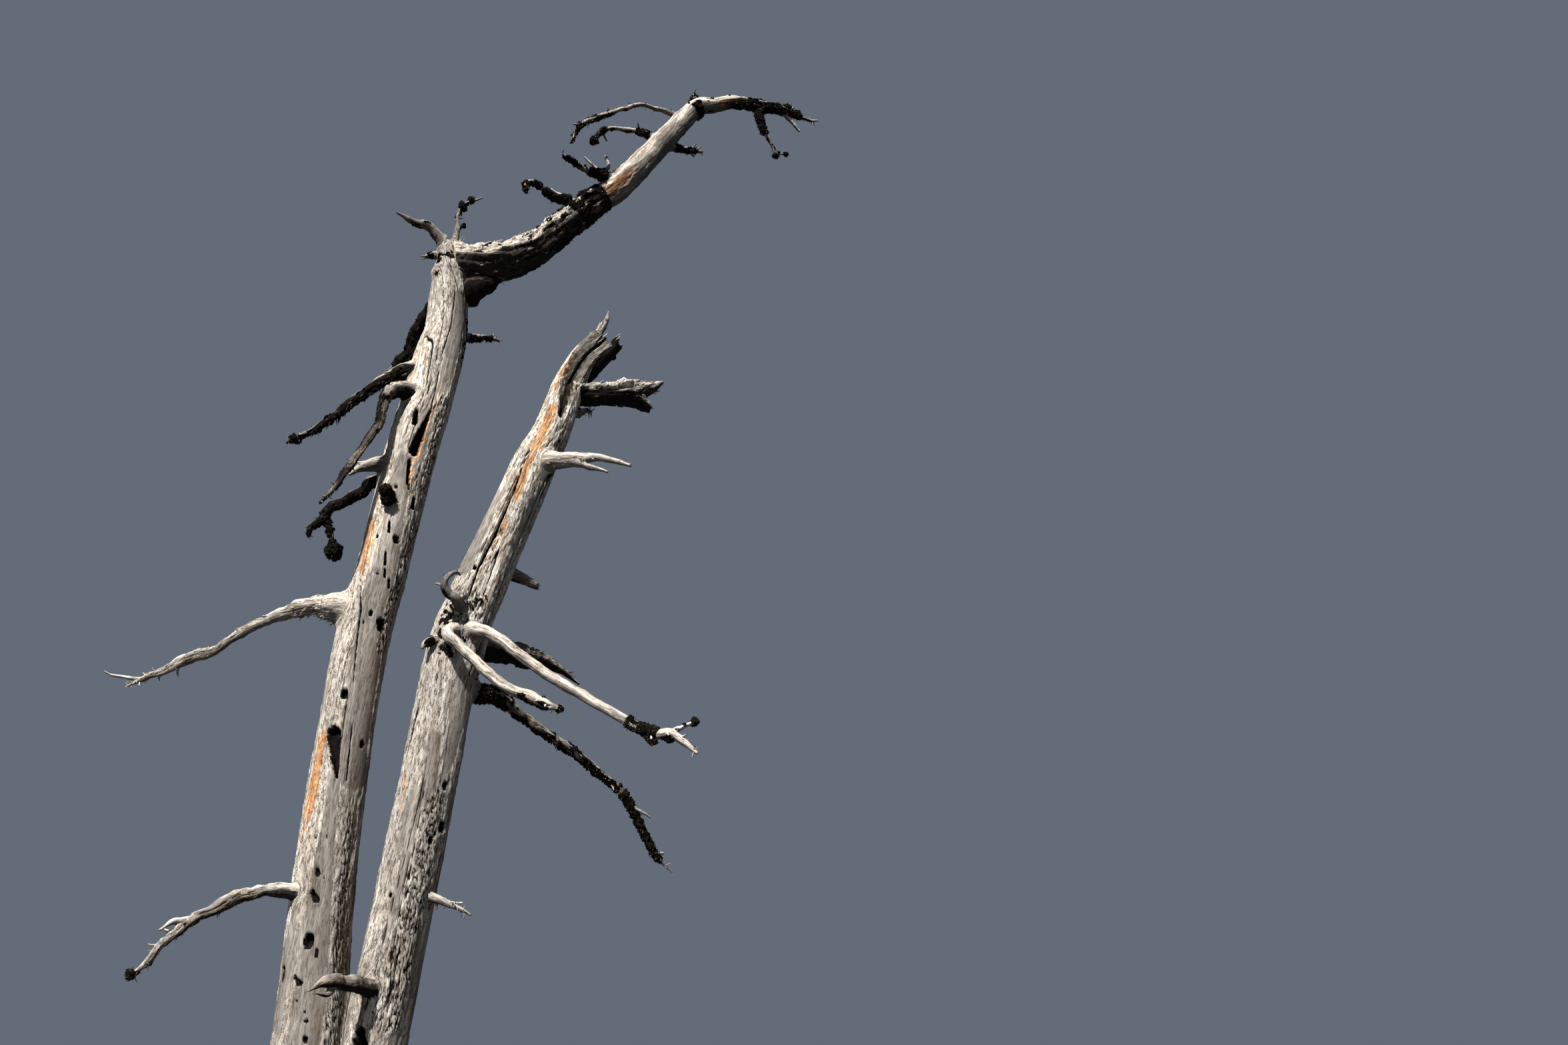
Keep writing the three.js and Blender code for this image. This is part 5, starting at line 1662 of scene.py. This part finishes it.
    def scatter(self, stem, patch, random):
        """Small tufts between two places on a stem, as wide apart as the patch."""
        (low, low_heading), (high, high_heading), width, count, size = patch
        for share in random.random(count):
            place = place_at_height(stem.path, low + (high - low) * share)
            centre, along = stem.path.point(place)[0], stem.path.slope(place)[0]
            out = direction(low_heading + (high_heading - low_heading) * share, 0)
            radius = float(stem.path.radius(place))
            out = out + np.cross(along, out) * random.uniform(-0.5, 0.5) * width / radius
            out = unit(out - along * (out @ along))
            own = size * random.uniform(0.35, 1)
            self.tuft(centre + out * radius, own, DARK_AND_SHADED_SHARES, random, out)

    def build(self):
        for tint, levels in self.pieces.items():
            finish = lichen_finish(tint)
            for piece in levels:
                piece.build(finish, "twigs")


def make_tufts(coat):
    """Balls of lichen at the ends of twigs, and small ones on the stems."""
    for limb in boughs:
        random = np.random.default_rng(limb.seed + 17)
        forks = [branch(limb.path, fork) for fork in limb.row.get("forks", [])]
        for clump in limb.row.get("clumps", []):
            fork = forks[clump["fork"]] if "fork" in clump else None
            centre = fork.corners[-1] if fork else limb.path.point(clump["leg"])[0]
            centre = centre + (0, 0, clump.get("lift", 0))
            for _ in range(3):
                moved = unit(random.normal(size=3)) * clump["size"] * 0.28
                coat.tuft(centre + moved, 0.8 * clump["size"], limb.shares, random)
            if fork:
                for share in np.arange(0.1, 0.95, 0.12):
                    moved = fork.point(share * fork.end)[0] + random.normal(0, 5, 3)
                    coat.tuft(moved, clump["size"] * random.uniform(0.3, 0.6), limb.shares, random)
    for name, patches in STEM_LICHEN.items():
        random = np.random.default_rng(seed_of(name) + 5)
        for patch in patches:
            coat.scatter(limbs[name], patch, random)


class Socket:
    """An output of a node. Sums and products of outputs add the Math nodes that they need."""

    def __init__(self, finish, output):
        self.finish, self.output = finish, output

    def maths(self, operation, *values):
        return self.finish.node("ShaderNodeMath", dict(operation=operation), dict(enumerate(values)))

    def __add__(self, other):
        return self.maths("ADD", self, other)

    __radd__ = __add__

    def __mul__(self, other):
        return self.maths("MULTIPLY", self, other)

    __rmul__ = __mul__

    def __sub__(self, other):
        return self.maths("SUBTRACT", self, other)

    def __rsub__(self, other):
        return self.maths("SUBTRACT", other, self)

    def size(self):
        return self.maths("ABSOLUTE", self)

    def above(self, low, high):
        """0 up to low, 1 from high on, and a soft rise between them."""
        settings = dict(interpolation_type="SMOOTHSTEP")
        return self.finish.node("ShaderNodeMapRange", settings, {0: self, 1: low, 2: high, 3: 0.0, 4: 1.0})


class Finish:
    """A material while it is being made."""

    def __init__(self, name):
        self.material = bpy.data.materials.new(name)
        self.material.use_nodes = True
        self.tree = self.material.node_tree
        self.shader = self.tree.nodes["Principled BSDF"]

    def node(self, kind, settings=None, values=None, output=0):
        """Adds a node: its settings first, then its inputs, each from a number, a colour or a socket."""
        made = self.tree.nodes.new(kind)
        for name, value in (settings or {}).items():
            if name == "stops":
                self.fill_ramp(made.color_ramp, value)
            else:
                setattr(made, name, value)
        for key, value in (values or {}).items():
            self.feed(made.inputs[key], value)
        return Socket(self, made.outputs[output])

    def fill_ramp(self, ramp, stops):
        while len(ramp.elements) < len(stops):
            ramp.elements.new(0.5)
        for element, (position, colour) in zip(ramp.elements, stops):
            element.position = position
            element.color = (*colour, 1)

    def feed(self, target, value):
        if isinstance(value, Socket):
            self.tree.links.new(value.output, target)
        elif isinstance(value, tuple) and target.type == "RGBA":
            target.default_value = (*value, 1)
        else:
            target.default_value = value

    def mixed(self, share, first, second, blend="MIX"):
        """One colour at share 0, the other at share 1."""
        settings = dict(data_type="RGBA", blend_type=blend)
        return self.node("ShaderNodeMix", settings, {0: share, 6: first, 7: second}, 2)

    def channels(self, colour):
        first = self.node("ShaderNodeSeparateColor", {}, {0: colour})
        return [Socket(self, output) for output in first.output.node.outputs]

    def ramp(self, value, *stops):
        return self.node("ShaderNodeValToRGB", dict(stops=stops), {0: value})

    def stretched(self, vector, across, along):
        """A vector scaled so that one cell of noise is this many metres across and along the grain."""
        scale = (1 / across, 1 / across, 1 / along)
        return self.node("ShaderNodeVectorMath", dict(operation="MULTIPLY"), {0: vector, 1: scale})

    def moved(self, vector, by, amount):
        """A vector moved by a random colour, so that straight edges turn wavy."""
        centred = self.node("ShaderNodeVectorMath", dict(operation="SUBTRACT"), {0: by, 1: (0.5, 0.5, 0.5)})
        values = {0: centred, 1: (amount, amount, 2 * amount), 2: vector}
        return self.node("ShaderNodeVectorMath", dict(operation="MULTIPLY_ADD"), values)

    def noise(self, vector, detail, roughness=0.5):
        values = {"Vector": vector, "Scale": 1.0, "Detail": detail, "Roughness": roughness}
        return self.node("ShaderNodeTexNoise", {}, values)

    def noise_colour(self, vector):
        return self.node("ShaderNodeTexNoise", {}, {"Vector": vector, "Scale": 1.0}, "Color")

    def cell_edges(self, vector):
        """How far a point is from the edge of its cell, in cells."""
        settings = dict(feature="DISTANCE_TO_EDGE")
        return self.node("ShaderNodeTexVoronoi", settings, {"Vector": vector, "Scale": 1.0}, "Distance")

    def bump(self, height, distance, strength):
        values = {"Height": height, "Distance": distance, "Strength": strength}
        return self.node("ShaderNodeBump", {}, values)

    def shine(self, specular):
        self.shader.inputs["Specular IOR Level"].default_value = specular


def weathered_wood():
    """Bare wood: grey and fibrous where worn, pale and pitted where it flakes, orange where it rots, with
    painted light and painted shade from the values it is given.
    """
    finish = Finish("weathered_wood")
    grain = finish.node("ShaderNodeAttribute", dict(attribute_name="grain"), output="Vector")
    wear = finish.node("ShaderNodeAttribute", dict(attribute_name="wear"), output="Color")
    tone_and_light = finish.node("ShaderNodeAttribute", dict(attribute_name="wear"), output="Alpha")
    crust, rot, hollow_and_shade = finish.channels(wear)

    fibres = finish.noise(finish.stretched(grain, 0.0022, 0.06), 3.0, 0.6)
    streaks = finish.noise(finish.stretched(grain, 0.012, 0.36), 3.0, 0.6)
    stains = finish.noise(finish.stretched(grain, 0.07, 0.26), 3.0, 0.6)
    flecks = finish.noise(finish.stretched(grain, 0.0048, 0.02), 3.0, 0.65)
    fleck = flecks.above(0.53, 0.64)
    wavy = finish.moved(grain, finish.noise_colour(finish.stretched(grain, 0.009, 0.016)), 0.016)
    cracks = finish.cell_edges(finish.stretched(wavy, 0.012, 0.05))
    broken = finish.noise(finish.stretched(grain, 0.018, 0.06), 1.0)
    gap = (1 - cracks.above(0.0, 0.12)) * broken.above(0.46, 0.58)
    slit = finish.noise(finish.stretched(grain, 0.009, 0.3), 1.0)
    slits = (1 - (slit - 0.5).size().above(0.0, 0.03)) * stains.above(0.46, 0.6)
    check = finish.noise(finish.stretched(grain, 0.0048, 0.12), 1.0)
    checks = (1 - (check - 0.5).size().above(0.01, 0.05)) * broken.above(0.42, 0.6)

    worn = finish.ramp(
        streaks * 0.25 + stains * 0.35 + fibres * 0.2 + flecks * 0.2,
        (0.30, (0.115, 0.10, 0.086)), (0.44, (0.20, 0.183, 0.165)),
        (0.56, (0.265, 0.246, 0.225)), (0.70, (0.37, 0.349, 0.323)),
    )
    flaky = finish.ramp(
        stains * 0.45 + flecks * 0.3 + fibres * 0.25,
        (0.34, (0.15, 0.122, 0.098)), (0.44, (0.31, 0.275, 0.24)),
        (0.52, (0.45, 0.42, 0.382)), (0.64, (0.66, 0.635, 0.60)),
    )
    wood = finish.mixed(crust, worn, flaky)
    # Painted light: the wood is mixed towards a pale copy where its paleness value is high, on the key lamp's
    # side and high up.
    pale = finish.mixed(streaks.above(0.35, 0.65), (0.46, 0.385, 0.305), (0.78, 0.735, 0.665))
    wood = finish.mixed(tone_and_light.above(0.5, 1.0) * 0.45 + tone_and_light.above(0.85, 1.0) * 0.3, wood, pale)
    wood = finish.mixed(gap * (crust * 0.4 + 0.2), wood, (0.085, 0.062, 0.045))
    wood = finish.mixed(fleck * (crust * 0.5 + 0.15), wood, (0.12, 0.094, 0.073))
    # Painted shade: where the paleness value is low, away from the key lamp and on boughs in shade, the wood
    # is multiplied darker.
    wood = finish.mixed(1 - tone_and_light.above(-0.05, 0.62), wood, (0.58, 0.52, 0.47), "MULTIPLY")
    wood = finish.mixed(slits * 0.5, wood, (0.05, 0.038, 0.03))
    wood = finish.mixed(checks * 0.4, wood, (0.09, 0.068, 0.05))
    orange = finish.ramp(
        streaks * 0.45 + flecks * 0.55,
        (0.35, (0.055, 0.027, 0.014)), (0.44, (0.25, 0.11, 0.043)),
        (0.54, (0.57, 0.325, 0.16)), (0.66, (0.76, 0.60, 0.42)),
    )
    rotten = (rot * 0.9 + flecks * 1.5 + stains * 0.8 - 1.15).above(0.42, 0.8)
    wood = finish.mixed(rotten * rot.above(0.05, 0.3) * 0.9, wood, orange)
    # Near-black: painted shade on undersides, in cracks, troughs and patches of shade, and dark rot with
    # painted shade in holes.
    wood = finish.mixed(hollow_and_shade.above(0.05, 0.8), wood, (0.012, 0.009, 0.007))
    finish.feed(finish.shader.inputs["Base Color"], wood)
    finish.feed(finish.shader.inputs["Roughness"], 0.97 - streaks * 0.2)
    finish.shine(0.25)
    coarse = (crust * 0.75 + 0.25) * (flecks * 1.0 - gap * 0.8 - fleck * 0.5)
    relief = fibres * 0.16 + streaks * 0.12 + coarse - slits * 0.5 - checks * 0.35
    finish.feed(finish.shader.inputs["Normal"], finish.bump(relief, 0.0045, 0.9))
    return finish.material


def lichen_finish(tint):
    """Dry hair lichen, matt, a little lighter towards some blades than others."""
    finish = Finish("lichen_" + tint)
    low, high = LICHEN_COLOURS[tint]
    place = finish.node("ShaderNodeTexCoord", output="Object")
    clouds = finish.noise(finish.stretched(place, 0.02, 0.02), 2.0)
    fine = finish.noise(finish.stretched(place, 0.003, 0.003), 2.0)
    lighter = (clouds * 0.6 + fine * 0.4).above(0.35, 0.65)
    finish.feed(finish.shader.inputs["Base Color"], finish.mixed(lighter, low, high))
    finish.shader.inputs["Roughness"].default_value = 0.95
    finish.shine(0.15)
    finish.feed(finish.shader.inputs["Normal"], finish.bump(fine, 0.001, 0.6))
    return finish.material


def make_stage():
    camera = bpy.data.cameras.new("camera")
    camera.lens = LENS
    camera.sensor_width = SENSOR
    camera.clip_end = VIEW_END
    eye = placed("camera", camera)
    eye.location = CAMERA_PLACE
    forward = Vector(direction(90 - CAMERA_HEADING, CAMERA_RISE))
    eye.rotation_euler = forward.to_track_quat("-Z", "Y").to_euler()
    bpy.context.scene.camera = eye
    bpy.context.scene.view_settings.view_transform = "Standard"
    bpy.context.scene.view_settings.look = "High Contrast"

    for name, source, energy, spread, colour in LAMPS:
        sun = bpy.data.lights.new(name, "SUN")
        sun.energy = energy
        sun.angle = math.radians(spread)
        sun.color = colour
        placed(name, sun).rotation_euler = Vector(source).to_track_quat("Z", "Y").to_euler()

    world = bpy.data.worlds.new("studio")
    world.use_nodes = True
    backdrop = world.node_tree.nodes["Background"]
    backdrop.inputs["Color"].default_value = AIR_COLOUR
    backdrop.inputs["Strength"].default_value = AIR_STRENGTH
    bpy.context.scene.world = world

    half = FLOOR_SIDE / 2
    mesh = bpy.data.meshes.new("floor")
    corners = [(-half, -half, 0), (half, -half, 0), (half, half, 0), (-half, half, 0)]
    mesh.from_pydata(corners, [], [(0, 1, 2, 3)])
    finish = Finish("pale_floor")
    finish.shader.inputs["Base Color"].default_value = FLOOR_COLOUR
    finish.shader.inputs["Roughness"].default_value = 0.9
    mesh.materials.append(finish.material)
    placed("floor", mesh)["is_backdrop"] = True


WOOD = weathered_wood()
make_stage()
make_stems()
lichen = Coat()
make_limbs(lichen)
make_tufts(lichen)
lichen.build()

size["visual"] = [list(corner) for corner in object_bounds()]
